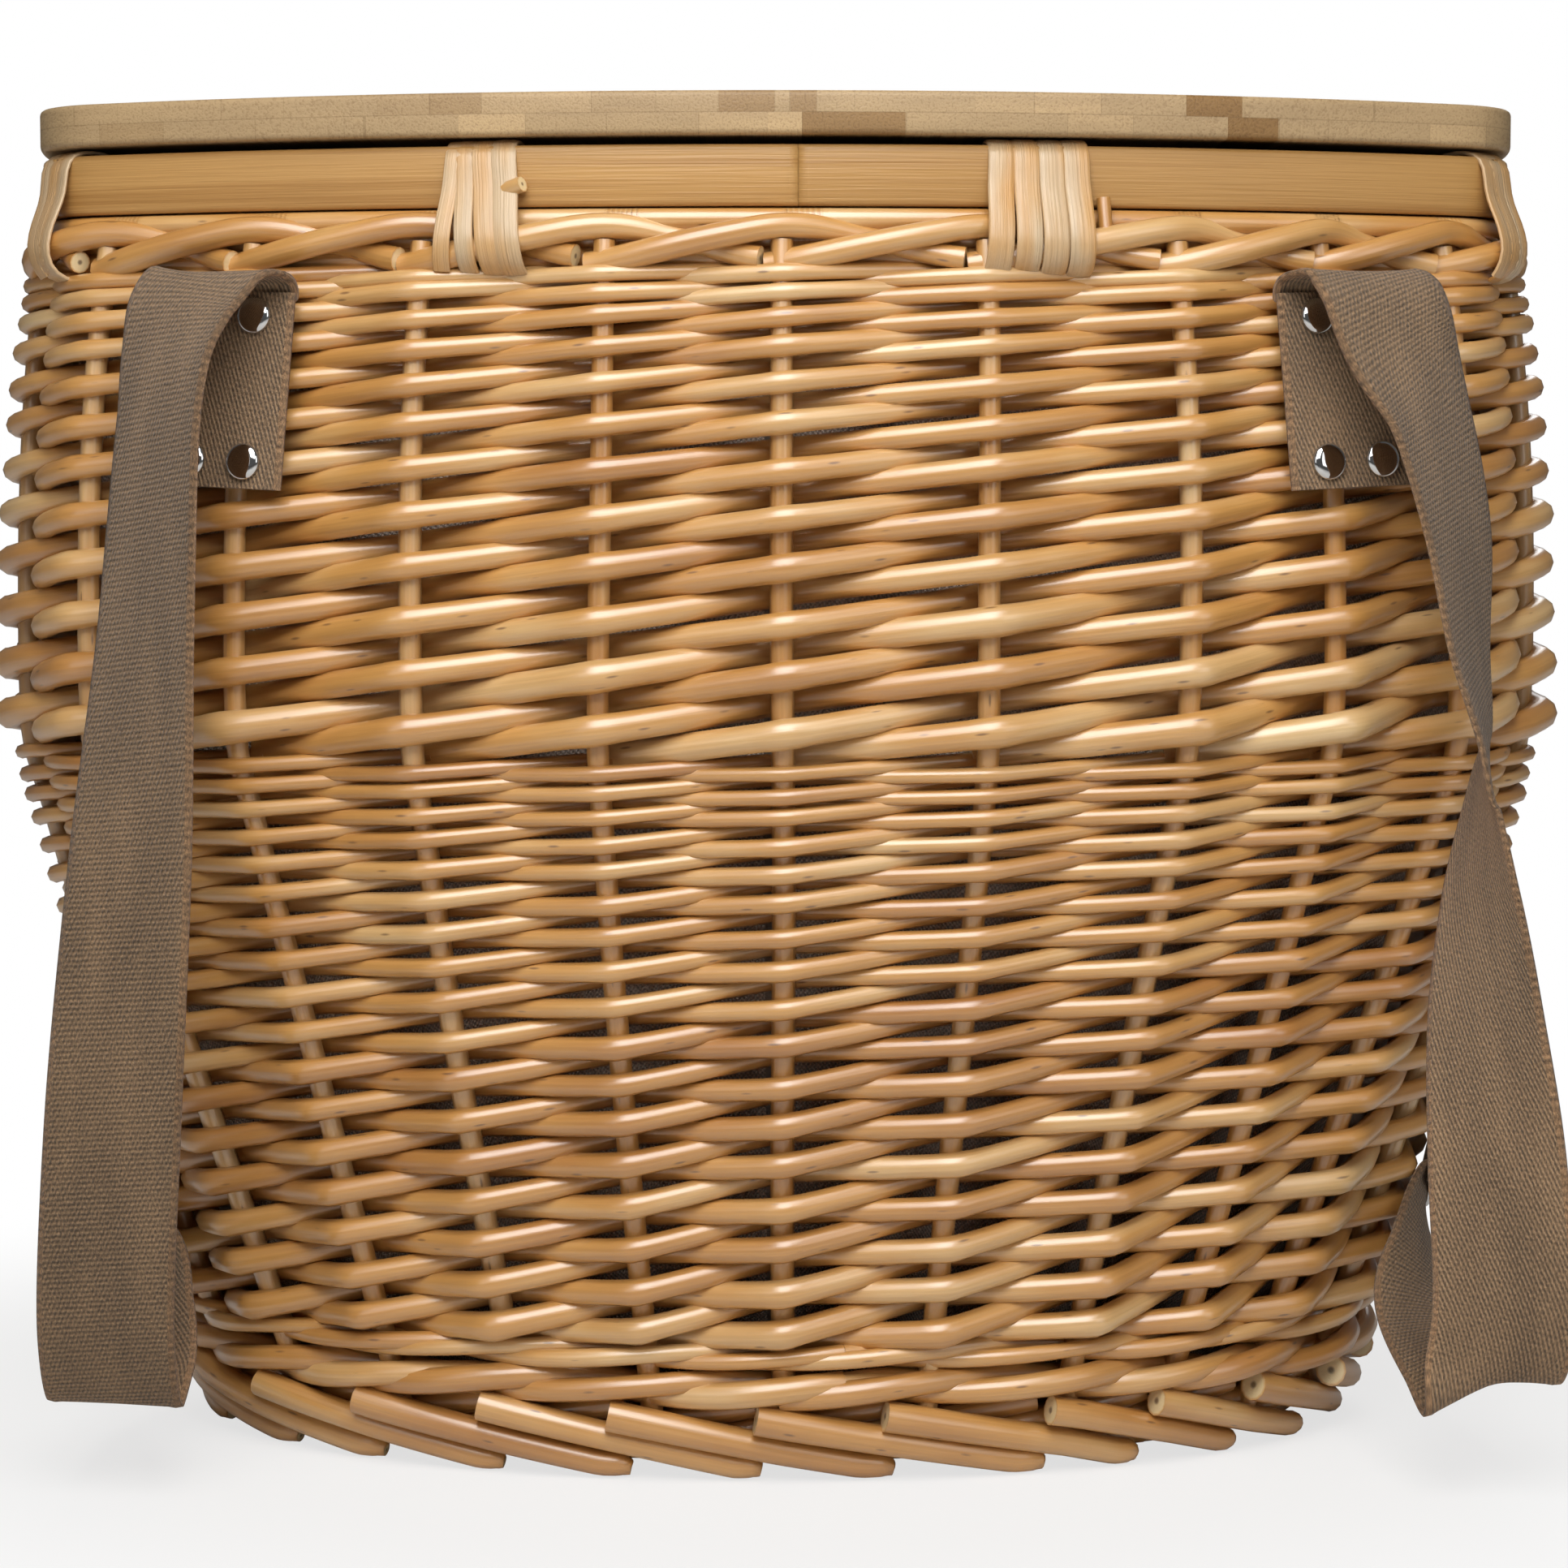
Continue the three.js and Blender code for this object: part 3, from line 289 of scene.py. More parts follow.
def rods(paths, radii, reference, sides, rng, flat=1.0, square=1.0):
    """Points, faces and attributes of round rods along paths of shape (rods, steps, 3): rings of the given
    radius square to the path, with the first spoke towards the reference, closed by cut ends. flat thins the
    rings and square below 1 fills their corners. grain is the place in the section and along the rod, tone
    is random by rod, cut is the share of the radius on an end."""
    count, steps = paths.shape[:2]
    tangent = unit(np.gradient(paths, axis=1))
    reference = np.broadcast_to(reference, paths.shape)
    side = unit(reference - (reference * tangent).sum(-1, keepdims=True) * tangent)
    up = np.cross(side, tangent)
    length = run_length(paths)
    order = np.concatenate([[0, 0, 0], np.arange(steps), [steps - 1] * 3])
    scale = np.concatenate([[0.01, 0.45, 1], np.ones(steps), [1, 0.45, 0.01]])
    cut = np.concatenate([[0, 0.45, 1], np.full(steps, 2.0), [1, 0.45, 0]])
    angle = np.arange(sides) * 2 * math.pi / sides
    ring = (radii[:, order] * scale)[..., None]
    across = ring * np.sign(np.cos(angle)) * np.abs(np.cos(angle)) ** square
    rise = ring * np.sign(np.sin(angle)) * np.abs(np.sin(angle)) ** square * flat
    points = (paths[:, order, None] + across[..., None] * side[:, order, None]
              + rise[..., None] * up[:, order, None])
    offset = rng.uniform(0, 50, count)[:, None, None]
    grain = np.stack([across, rise, np.broadcast_to(length[:, order, None] + offset, across.shape)], -1)
    tone = np.broadcast_to(rng.uniform(0, 1, count)[:, None, None], across.shape)
    cuts = np.broadcast_to(cut[None, :, None], across.shape)
    rings = len(order)
    joined = np.array([i for i in range(rings - 1) if i not in (2, rings - 4)])
    base = (np.arange(count)[:, None, None] * rings + joined[None, :, None]) * sides
    here = np.arange(sides)
    after = (here + 1) % sides
    quads = np.stack([base + here, base + sides + here, base + sides + after, base + after], -1)
    attributes = {"grain": grain.reshape(-1, 3), "tone": tone.ravel(), "cut": cuts.ravel()}
    return points.reshape(-1, 3), quads.reshape(-1, 4), attributes


def outward(paths):
    """Level directions out from the basket, square to paths that run round it."""
    tangent = unit(np.gradient(paths, axis=-2))
    return unit(np.stack([tangent[..., 1], -tangent[..., 0], np.zeros(tangent.shape[:-1])], -1))


def wander(rng, count, along, size, waves):
    """Smooth random drift for each rod: three sines of random phase."""
    total = np.zeros((count, len(along)))
    for order in range(1, 4):
        phase = rng.uniform(0, 2 * math.pi, (count, 1))
        total += np.sin(along[None] * waves * order + phase) / order
    return total * size / 2


def loft(rings, **attributes):
    """Points, faces and attributes of a skin over rings of shape (rings, points, 3), with closed ends."""
    count, across = rings.shape[:2]
    start = np.arange(count - 1)[:, None] * across
    here = start + np.arange(across)
    after = start + (np.arange(across) + 1) % across
    quads = np.stack([here, here + across, after + across, after], -1).reshape(-1, 4)
    last = count * across - 1
    ends = [list(range(across)), list(range(last, last - across, -1))]
    return rings.reshape(-1, 3), quads.tolist() + ends, {
        key: values.reshape(-1, 3) for key, values in attributes.items()}


# Materials

def add(tree, kind, values=None, links=None, **settings):
    """Node with settings, socket values and links into its sockets."""
    made = tree.nodes.new(kind)
    for key, value in settings.items():
        setattr(made, key, value)
    for key, value in (values or {}).items():
        made.inputs[key].default_value = value
    for key, socket in (links or {}).items():
        tree.links.new(socket, made.inputs[key])
    return made


def rgba(colour):
    """Colour with full alpha."""
    return (*colour, 1.0)


def ramp(tree, factor, stops):
    """Colour ramp through stops of place and colour."""
    made = add(tree, "ShaderNodeValToRGB", links={"Fac": factor})
    band = made.color_ramp
    for index, (place, colour) in enumerate(stops):
        stop = band.elements[index] if index < 2 else band.elements.new(place)
        stop.position = place
        stop.color = rgba(colour)
    return made.outputs["Color"]


def maths(tree, operation, a, b=0.0):
    """Result of one sum on sockets or numbers."""
    made = add(tree, "ShaderNodeMath", operation=operation)
    for index, value in enumerate((a, b)):
        if isinstance(value, (int, float)):
            made.inputs[index].default_value = value
        else:
            tree.links.new(value, made.inputs[index])
    return made.outputs["Value"]


def plus(tree, a, b):
    """Sum of two sockets or numbers."""
    return maths(tree, "ADD", a, b)


def times(tree, a, b):
    """Product of two sockets or numbers."""
    return maths(tree, "MULTIPLY", a, b)


def wave(tree, length, period):
    """Sine of a length, from -1 to 1 and back in one period."""
    return maths(tree, "SINE", times(tree, length, 2 * math.pi / period))


def mix(tree, factor, a, b, blend="MIX"):
    """Mixed colour of sockets or colours by a socket or number."""
    made = add(tree, "ShaderNodeMix", data_type="RGBA", blend_type=blend)
    for index, value in ((0, factor), (6, a), (7, b)):
        if isinstance(value, (int, float)):
            made.inputs[index].default_value = value
        elif isinstance(value, bpy.types.NodeSocket):
            tree.links.new(value, made.inputs[index])
        else:
            made.inputs[index].default_value = rgba(value)
    return made.outputs[2]


def attribute(tree, name, output="Vector"):
    """Socket of a mesh attribute."""
    return add(tree, "ShaderNodeAttribute", attribute_name=name).outputs[output]


def scaled(tree, vector, scale):
    """Vector with each part scaled."""
    return add(tree, "ShaderNodeVectorMath", {1: scale}, {0: vector}, operation="MULTIPLY").outputs["Vector"]


def noise(tree, vector, scale, detail=2.0, roughness=0.5):
    """Noise value on a vector scaled by cycles per metre in each direction."""
    made = add(tree, "ShaderNodeTexNoise", {"Scale": 1.0, "Detail": detail, "Roughness": roughness},
               {"Vector": scaled(tree, vector, scale)})
    return made.outputs["Fac"]


def surface(name):
    """New material with its tree and its shader."""
    made = bpy.data.materials.new(name)
    made.use_nodes = True
    return made, made.node_tree, made.node_tree.nodes["Principled BSDF"]


def bump(tree, shader, height, distance, strength=1.0):
    """Bump of a real height on a shader."""
    made = add(tree, "ShaderNodeBump", {"Distance": distance, "Strength": strength}, {"Height": height})
    tree.links.new(made.outputs["Normal"], shader.inputs["Normal"])


def dress(tree, shader, colour, values):
    """Links a colour to a shader and sets its other sockets."""
    tree.links.new(colour, shader.inputs["Base Color"])
    for key, value in values.items():
        shader.inputs[key].default_value = value


def shade(colour, factor):
    """Colour made darker or lighter."""
    return tuple(min(1, part * factor) for part in colour)


def willow(name, colours, shift):
    """Peeled and varnished willow rods: tone by rod, slow mottling, fine streaks along the rod, small dark
    knots, and pale cut ends with pith. A shift above 0 makes the tones lighter."""
    made, tree, shader = surface(name)
    grain = attribute(tree, "grain")
    tone = attribute(tree, "tone", "Fac")
    mottle = noise(tree, grain, (60, 60, 14), 3)
    streak = noise(tree, grain, (900, 900, 22), 3, 0.6)
    place = plus(tree, times(tree, tone, 0.28), times(tree, mottle, 0.9))
    body = ramp(tree, plus(tree, place, shift - 0.06),
                [(0.2, colours.willow_dark), (0.52, colours.willow_mid), (0.85, colours.willow_light)])
    fine = ramp(tree, streak, [(0.3, (0.8, 0.76, 0.7)), (0.62, WHITE)])
    body = mix(tree, 0.55, body, fine, "MULTIPLY")
    knots = add(tree, "ShaderNodeTexVoronoi", {"Scale": 1.0, "Randomness": 1.0},
                {"Vector": scaled(tree, grain, (260, 260, 55))}).outputs["Distance"]
    fleck = ramp(tree, knots, [(0.05, WHITE), (0.12, BLACK)])
    body = mix(tree, times(tree, fleck, 0.75), body, colours.knot)
    share = attribute(tree, "cut", "Fac")
    face = ramp(tree, share, [(0.12, colours.pith), (0.3, colours.cut), (0.8, colours.cut),
                              (1.0, colours.willow_mid)])
    is_side = maths(tree, "GREATER_THAN", share, 1.5)
    dress(tree, shader, mix(tree, is_side, face, body),
          {"Coat Weight": 1.0, "Coat Roughness": 0.3, "Coat IOR": 1.8})
    tree.links.new(plus(tree, times(tree, streak, 0.2), 0.3), shader.inputs["Roughness"])
    bump(tree, shader, streak, 0.0003, 0.6)
    return made


def split_willow(name, colours):
    """Flat skein of split willow: pale, with long fibres and a satin shine."""
    made, tree, shader = surface(name)
    grain = attribute(tree, "grain")
    fibre = noise(tree, grain, (1500, 1500, 16), 3, 0.6)
    slow = noise(tree, grain, (90, 90, 20), 2)
    body = ramp(tree, slow, [(0.33, colours.willow_mid), (0.6, colours.skein)])
    lines = ramp(tree, fibre, [(0.3, (0.76, 0.7, 0.64)), (0.6, WHITE)])
    dress(tree, shader, mix(tree, 0.6, body, lines, "MULTIPLY"),
          {"Roughness": 0.36, "Coat Weight": 0.5, "Coat Roughness": 0.3})
    bump(tree, shader, fibre, 0.0005)
    return made


def pine(name, colours):
    """Varnished pine: growth lines stretched along the rail, finer pores and slow changes of tone."""
    made, tree, shader = surface(name)
    grain = attribute(tree, "grain")
    lines = noise(tree, grain, (190, 320, 3.2), 2, 0.55)
    pores = noise(tree, grain, (1400, 1400, 26), 2)
    slow = noise(tree, grain, (25, 25, 7), 2)
    body = ramp(tree, lines, [(0.34, colours.pine_grain), (0.47, colours.pine), (0.7, colours.pine)])
    tint = ramp(tree, slow, [(0.3, (0.84, 0.8, 0.74)), (0.7, (1.04, 1.02, 1))])
    body = mix(tree, 1.0, body, tint, "MULTIPLY")
    fine = ramp(tree, pores, [(0.35, (0.82, 0.78, 0.72)), (0.55, WHITE)])
    dress(tree, shader, mix(tree, 0.35, body, fine, "MULTIPLY"), {"Roughness": 0.42})
    bump(tree, shader, pores, 0.0002)
    return made


def bamboo(name, colours):
    """Laminated bamboo: two layers of strips of random tone laid front to back, with end-grain dots on the
    edge, long fibres on the faces and thin dark seams."""
    made, tree, shader = surface(name)
    low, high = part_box("lid_board")
    middle = (low.z + high.z) / 2
    strips_per_metre, layer_shift = 48.0, 11.37
    place = add(tree, "ShaderNodeTexCoord").outputs["Object"]
    parts = add(tree, "ShaderNodeSeparateXYZ", links={"Vector": place})
    layer = maths(tree, "GREATER_THAN", parts.outputs["Z"], middle)
    strips = plus(tree, times(tree, parts.outputs["X"], strips_per_metre), times(tree, layer, layer_shift))
    uneven = add(tree, "ShaderNodeTexNoise", {"Scale": 1.0}, {"W": times(tree, strips, 0.6)},
                 noise_dimensions="1D").outputs["Fac"]
    strips = plus(tree, strips, times(tree, uneven, 2.6))
    key = add(tree, "ShaderNodeCombineXYZ", links={"X": maths(tree, "FLOOR", strips), "Y": layer})
    random = add(tree, "ShaderNodeTexWhiteNoise", links={"Vector": key.outputs["Vector"]},
                 noise_dimensions="2D").outputs["Value"]
    body = ramp(tree, random, [(0.08, colours.bamboo_dark), (0.3, colours.bamboo), (0.75, colours.bamboo),
                               (0.98, shade(colours.bamboo, 1.18))])
    dots = noise(tree, place, (1500, 24, 1500), 1)
    body = mix(tree, 0.6, body, ramp(tree, dots, [(0.3, (0.66, 0.6, 0.54)), (0.5, WHITE)]), "MULTIPLY")
    slow = noise(tree, place, (30, 12, 200), 3)
    body = mix(tree, 0.7, body, ramp(tree, slow, [(0.3, (0.82, 0.8, 0.78)), (0.7, (1.05, 1.04, 1.02))]),
               "MULTIPLY")
    seam = maths(tree, "LESS_THAN", maths(tree, "FRACT", strips), 0.012)
    from_middle = maths(tree, "ABSOLUTE", maths(tree, "SUBTRACT", parts.outputs["Z"], middle))
    glue = maths(tree, "LESS_THAN", from_middle, 0.00016)
    body = mix(tree, times(tree, maths(tree, "MAXIMUM", seam, glue), 0.3), body,
               shade(colours.bamboo_dark, 0.5))
    dress(tree, shader, body, {"Roughness": 0.5})
    bump(tree, shader, dots, 0.00015)
    return made


def twill(name, colours):
    """Cotton webbing: fine ribs across the width on a slow diagonal, yarns along it, chained edges, and
    a back on which the yarns along it stand out, painted paler as painted light that lifts the shaded tab."""
    made, tree, shader = surface(name)
    place = attribute(tree, "band")
    parts = add(tree, "ShaderNodeSeparateXYZ", links={"Vector": place})
    across, along = parts.outputs["X"], parts.outputs["Y"]
    back = maths(tree, "LESS_THAN", parts.outputs["Z"], 0.0)
    edge = maths(tree, "GREATER_THAN", maths(tree, "ABSOLUTE", across), 0.0183)
    rib = wave(tree, plus(tree, along, times(tree, across, 0.16)), 0.0015)
    yarn = maths(tree, "SINE", plus(tree, times(tree, across, 2 * math.pi / 0.0013),
                                    times(tree, along, 2 * math.pi / 0.0034)))
    chain = wave(tree, along, 0.0026)
    rib_height = maths(tree, "SUBTRACT", 0.17, times(tree, back, 0.12))
    yarn_height = plus(tree, 0.13, times(tree, back, 0.11))
    weave = plus(tree, times(tree, rib, rib_height), times(tree, yarn, yarn_height))
    height = plus(tree, times(tree, weave, maths(tree, "SUBTRACT", 1.0, edge)),
                  times(tree, times(tree, chain, edge), 0.12))
    fuzz = noise(tree, place, (1900, 850, 1), 2, 0.7)
    height = plus(tree, height, times(tree, fuzz, 1.5))
    slow = noise(tree, place, (70, 16, 1), 3)
    tone = plus(tree, times(tree, height, 0.5), times(tree, slow, 0.3))
    body = ramp(tree, tone, [(0.34, shade(colours.webbing, 0.36)), (0.54, colours.webbing),
                             (0.74, shade(colours.webbing, 1.9))])
    # The back face is painted lighter: painted light that lifts the tab out of the shade under the fold. The
    # warmer tint on the edges is the webbing's own.
    for part, tint in ((back, (1.33, 1.35, 1.4)), (edge, (1.08, 1.0, 0.93))):
        body = mix(tree, 1.0, body, mix(tree, part, WHITE, tint), "MULTIPLY")
    dress(tree, shader, body, {"Roughness": 0.85, "Sheen Weight": 0.15})
    bump(tree, shader, height, 0.0005)
    return made


def cloth(name, colours):
    """Plain woven lining cloth: crossed yarns, in a colour painted paler as painted light for the shaded gaps
    in the weave.
    """
    made, tree, shader = surface(name)
    parts = add(tree, "ShaderNodeSeparateXYZ", links={"Vector": attribute(tree, "band")})
    height = times(tree, *(wave(tree, parts.outputs[part], 0.0014) for part in ("X", "Y")))
    body = ramp(tree, plus(tree, times(tree, height, 0.3), 0.5),
                [(0.2, shade(colours.liner, 0.7)), (0.8, shade(colours.liner, 1.2))])
    dress(tree, shader, body, {"Roughness": 0.95})
    bump(tree, shader, height, 0.0003)
    return made


def chrome(name, colours):
    """Polished chrome."""
    made, _, shader = surface(name)
    shader.inputs["Base Color"].default_value = rgba(colours.chrome)
    shader.inputs["Metallic"].default_value = 1.0
    shader.inputs["Roughness"].default_value = 0.08
    return made


def get_material(name, maker, *args):
    """Material by name, made in the scene's colours at its first use."""
    return bpy.data.materials.get(name) or maker(name, bpy.context.scene.basket_colours, *args)


def warm_willow():
    """Willow of the upper band and top border."""
    return get_material("peeled_willow_warm", willow, 0.0)


def pale_willow():
    """Willow of the lower band, foot and base."""
    return get_material("peeled_willow_pale", willow, -0.05)


def painted_lit_willow():
    """Lightest willow, of the stakes: a lighter copy, painted light that lifts them out of the shade between
    the rods.
    """
    return get_material("peeled_willow_painted_lit", willow, 0.08)


# Woven body

# Places along a rod between two stakes, closer together at the bends
BEND_STEPS = np.array([0, 0.05, 0.12, 0.22, 0.36, 0.5, 0.64, 0.78, 0.88, 0.95])
STAKES = len(STAKE_TURNS)
STAKE_NUMBERS = np.arange(STAKES)[:, None]


def randed_band(name, node, shape, heights, rounds, climb, butt, tip, material, seed, sides):
    """French randing: one rod starts at every stake, goes in front of it and behind the next, and so on up
    to the right. Its distance from the stake line is that of touching the stake, times a zigzag of one
    half turn for each stake with slightly rounded bends. Its height by round u is first + step u - close u
    cubed, where u grows in straight runs: by the climb on the way to the front, by the rest after it. The
    rod tapers from butt to tip and swells a little in front of a stake."""
    first, step, close = heights
    rng = np.random.default_rng(seed)
    t = (np.arange(-2, 2 * rounds)[:, None] + BEND_STEPS).ravel()
    t = t[(t > -1.1) & (t < 2 * rounds - 0.9)]
    share = np.clip(t / (2 * rounds - 1), 0, 1)
    half = np.mod(t + 1, 2)
    swell = 1 + 0.09 * np.exp(-((half - 1) / 0.1) ** 2)
    radius = (butt + (tip - butt) * share) * swell / 2 * rng.uniform(0.93, 1.06, (STAKES, 1))
    zigzag = np.arcsin(0.97 * np.cos(math.pi * t)) / math.asin(0.97)
    offset = (shape.stake / 2 + radius) * zigzag
    u = np.floor((t + 1) / 2) + np.where(half < 1, climb * (half - 1), (1 - climb) * (half - 1))
    z = (first + step * u - close * u ** 3) * MM + wander(rng, STAKES, t, 0.9 * MM, 0.55)
    paths = wall(stake_turn(STAKE_NUMBERS + t), z, offset, shape)
    add_mesh(name, rods(paths, radius, outward(paths), sides, rng), material, "basket", (node,))


class BASKET_OT_upper_band(bpy.types.Operator):
    """Upper band of thick willow rods in French randing."""

    bl_idname = "basket.upper_band"
    bl_label = "Upper band"

    def execute(self, context):
        shape = context.scene.basket_shape
        randed_band("upper_weave", "upper_band", shape, heights=(219.7, 15.2, 0.0309), rounds=12, climb=0.5,
                    butt=shape.upper_butt, tip=shape.upper_tip, material=warm_willow(),
                    seed=3, sides=10)
        return {"FINISHED"}


class BASKET_OT_lower_band(bpy.types.Operator):
    """Lower band of thinner willow rods in French randing."""

    bl_idname = "basket.lower_band"
    bl_label = "Lower band"

    def execute(self, context):
        shape = context.scene.basket_shape
        randed_band("lower_weave", "lower_band", shape, heights=(45.1, 12.6, 0.00955), rounds=17, climb=0.3,
                    butt=shape.lower_butt, tip=shape.lower_tip, material=pale_willow(),
                    seed=5, sides=8)
        return {"FINISHED"}


class BASKET_OT_stakes(bpy.types.Operator):
    """Upright stakes: round rods from the foot to the top border, a little outside the stake line above
    the waist and near it below."""

    bl_idname = "basket.stakes"
    bl_label = "Stakes"

    def execute(self, context):
        shape = context.scene.basket_shape
        rng = np.random.default_rng(11)
        z = np.linspace(10, 355, 60) * MM
        change = shape.waist_height + np.array([-20, 20]) * MM
        stand = np.interp(z, change, (0.8 * MM, 2.4 * MM))
        turn = STAKE_TURNS[:, None] + wander(rng, STAKES, z, 0.0008, 14)
        paths = wall(turn, z, stand + wander(rng, STAKES, z, 0.5 * MM, 20), shape)
        radius = shape.stake / 2 * np.linspace(1.16, 1.06, len(z)) * np.ones((STAKES, 1))
        out = unit(paths * np.array([1, 1, 0]))
        # The stakes take the lighter copy of the willow: painted light against the shade between the rods.
        add_mesh("stakes", rods(paths, radius, out, 8, rng), painted_lit_willow(), "basket", ())
        return {"FINISHED"}


class BASKET_OT_wales(bpy.types.Operator):
    """Two rounds of three-rod wale over the foot: each rod goes in front of two stakes and behind one, so
    its distance and height turn once in three stakes, a third of a turn after the rod before."""

    bl_idname = "basket.wales"
    bl_label = "Wales"

    def execute(self, context):
        shape = context.scene.basket_shape
        rng = np.random.default_rng(17)
        t = np.linspace(0, STAKES, 12 * STAKES + 1)
        paths = []
        radii = []
        for height, diameter in ((37.2, 5.2), (27, 7.6)):
            for strand in range(3):
                turned = 2 * math.pi * (t - strand - 0.5) / 3
                radius = diameter / 2 * MM * (1 + 0.08 * np.sin(t * 1.7 + strand * 2 + height))
                offset = (shape.stake / 2 + radius) * (0.28 + 0.85 * np.cos(turned))
                z = height * MM + 0.62 * radius * np.sin(turned) + wander(rng, 1, t, 0.8 * MM, 0.9)[0]
                paths.append(wall(stake_turn(t + 0.2 * strand), z, offset, shape))
                radii.append(radius)
        paths = np.array(paths)
        mesh = rods(paths, np.array(radii), outward(paths), 8, rng)
        add_mesh("foot_wales", mesh, pale_willow(), "basket", ("foot_wale",))
        return {"FINISHED"}


class BASKET_OT_foot_border(bpy.types.Operator):
    """Foot border: at every stake a thick rod starts with a cut butt outside the wale, slopes down to the
    right over the one before and ends on the floor. Thinner ends rise behind them, in front of two plain
    rounds."""

    bl_idname = "basket.foot_border"
    bl_label = "Foot border"

    def execute(self, context):
        shape = context.scene.basket_shape
        rng = np.random.default_rng(23)
        span, top, end = 2.05, 20, 2.2
        stand_at_butt, stand_lost = 8.2, 4.2
        hidden_radius = 3.7 * MM
        u = np.sin(np.linspace(0, math.pi / 2, 26))
        taper = 1 - 0.14 * u - 0.45 * u ** 40
        radius = shape.foot_rod / 2 * taper * rng.uniform(0.94, 1.06, (STAKES, 1))
        turn = stake_turn(STAKE_NUMBERS - 0.25 + rng.uniform(-0.07, 0.07, (STAKES, 1)) + span * u)
        tops = top + rng.uniform(-1.0, 0.7, (STAKES, 1))
        z = np.maximum((tops - (tops - end) * u) * MM, 0.985 * radius)
        offset = (stand_at_butt - stand_lost * u + rng.uniform(-0.5, 0.5, (STAKES, 1))) * MM
        odd = STAKE_NUMBERS % 2
        laid = stake_turn(STAKE_NUMBERS + 1.1 * u)
        paths = np.concatenate([
            wall(turn, z, offset, shape),
            wall(stake_turn(STAKE_NUMBERS + 0.1 + 1.7 * u), (9 + 12 * u) * MM, -2 * MM, shape),
            wall(laid, (6 + 8 * odd) * MM, -8.5 * MM, shape),
            wall(laid, (14 - 8 * odd) * MM, -9 * MM, shape)])
        radii = np.concatenate([radius, np.full((3 * STAKES, len(u)), hidden_radius)])
        mesh = rods(paths, radii, outward(paths), 12, rng)
        add_mesh("foot_border_rods", mesh, pale_willow(), "basket", ("foot_border",))
        return {"FINISHED"}


# Course of a rod of the top border by stakes passed: its height, and its distance out from the stake line,
# in millimetres
BORDER_RISE = np.array([
    (-0.12, 348.5), (0.1, 350.8), (0.5, 355.4), (0.85, 359), (1.0, 359.8), (1.15, 359.2), (1.5, 355),
    (1.86, 350.2)])
BORDER_STAND = np.array([
    (-0.12, 0.5), (0.1, 4.4), (0.35, 6.4), (0.6, 6.8), (0.9, 5.4), (1.15, 2.4), (1.4, -0.6), (1.6, -0.4),
    (1.75, 2.0), (1.86, 4.6)])

# Plain rounds behind them: height and distance out, in millimetres
BORDER_ROUNDS = ((350.5, -3.2), (355.8, -3.2), (360.9, 0.6))


class BASKET_OT_top_border(bpy.types.Operator):
    """Top border: each stake's end is laid over to the right, rises in front to the next stake, falls
    behind the rod of that stake and ends in a cut end below it. Three plain rounds lie behind them."""

    bl_idname = "basket.top_border"
    bl_label = "Top border"

    def execute(self, context):
        shape = context.scene.basket_shape
        rng = np.random.default_rng(29)
        u = np.linspace(0, 1, 44)
        along = BORDER_RISE[0, 0] + (BORDER_RISE[-1, 0] - BORDER_RISE[0, 0]) * u
        radius = shape.border_rod / 2 * (1.08 - 0.16 * u) * rng.uniform(0.93, 1.06, (STAKES, 1))
        turn = stake_turn(STAKE_NUMBERS + rng.uniform(-0.05, 0.05, (STAKES, 1)) + along)
        course = np.stack([np.interp(along, *line.T) for line in (BORDER_RISE, BORDER_STAND)], -1)
        rise, stand = smoothed(course, np.hanning(9)[1:-1]).T
        z = (rise + rng.uniform(-0.7, 0.5, (STAKES, 1))) * MM
        offset = (stand + rng.uniform(-0.5, 0.5, (STAKES, 1))) * MM
        laid = stake_turn(STAKE_NUMBERS + 1.2 * u)
        rounds = [wall(laid, level * MM, out * MM, shape) for level, out in BORDER_ROUNDS]
        paths = np.concatenate([wall(turn, z, offset, shape), *rounds])
        radii = np.concatenate([radius, np.full((len(rounds) * STAKES, len(u)), 3.2 * MM)])
        mesh = rods(paths, radii, outward(paths), 12, rng)
        add_mesh("top_border_rods", mesh, warm_willow(), "basket", ("top_border",))
        return {"FINISHED"}


class BASKET_OT_base(bpy.types.Operator):
    """Woven base: sticks across it, and rounds of rods in ellipses that wave over and under the stakes'
    lower ends."""

    bl_idname = "basket.base"
    bl_label = "Base"

    def execute(self, context):
        rng = np.random.default_rng(31)
        low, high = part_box("base_panel")
        middle = (low.z + high.z) / 2
        rounds, sticks, steps = 11, 12, 12
        number = np.arange(rounds)[:, None]
        turn = np.linspace(0, 2 * math.pi, 193)
        grow = (number + 0.9) / rounds
        over = middle + 1.6 * MM * np.cos(12 * turn + math.pi * number)
        paths = np.stack([(high.x - 4 * MM) * grow * np.sin(turn), -(high.y - 4 * MM) * grow * np.cos(turn),
                          over], -1)
        mesh = rods(paths, np.full(over.shape, 3.1 * MM), outward(paths), 8, rng)
        add_mesh("base_rounds", mesh, pale_willow(), "basket", ("base_panel",))
        spokes = (np.linspace(0, math.pi, sticks, endpoint=False) + math.pi / (2 * sticks))[:, None]
        reach = np.linspace(-1, 1, steps)
        paths = np.stack([(high.x - 5 * MM) * np.sin(spokes) * reach,
                          (high.y - 5 * MM) * np.cos(spokes) * reach, np.full((sticks, steps), middle)], -1)
        mesh = rods(paths, np.full((sticks, steps), 2.6 * MM), np.array([0, 0, 1.0]), 8, rng)
        add_mesh("base_sticks", mesh, pale_willow(), "basket", ())
        return {"FINISHED"}


# Liner

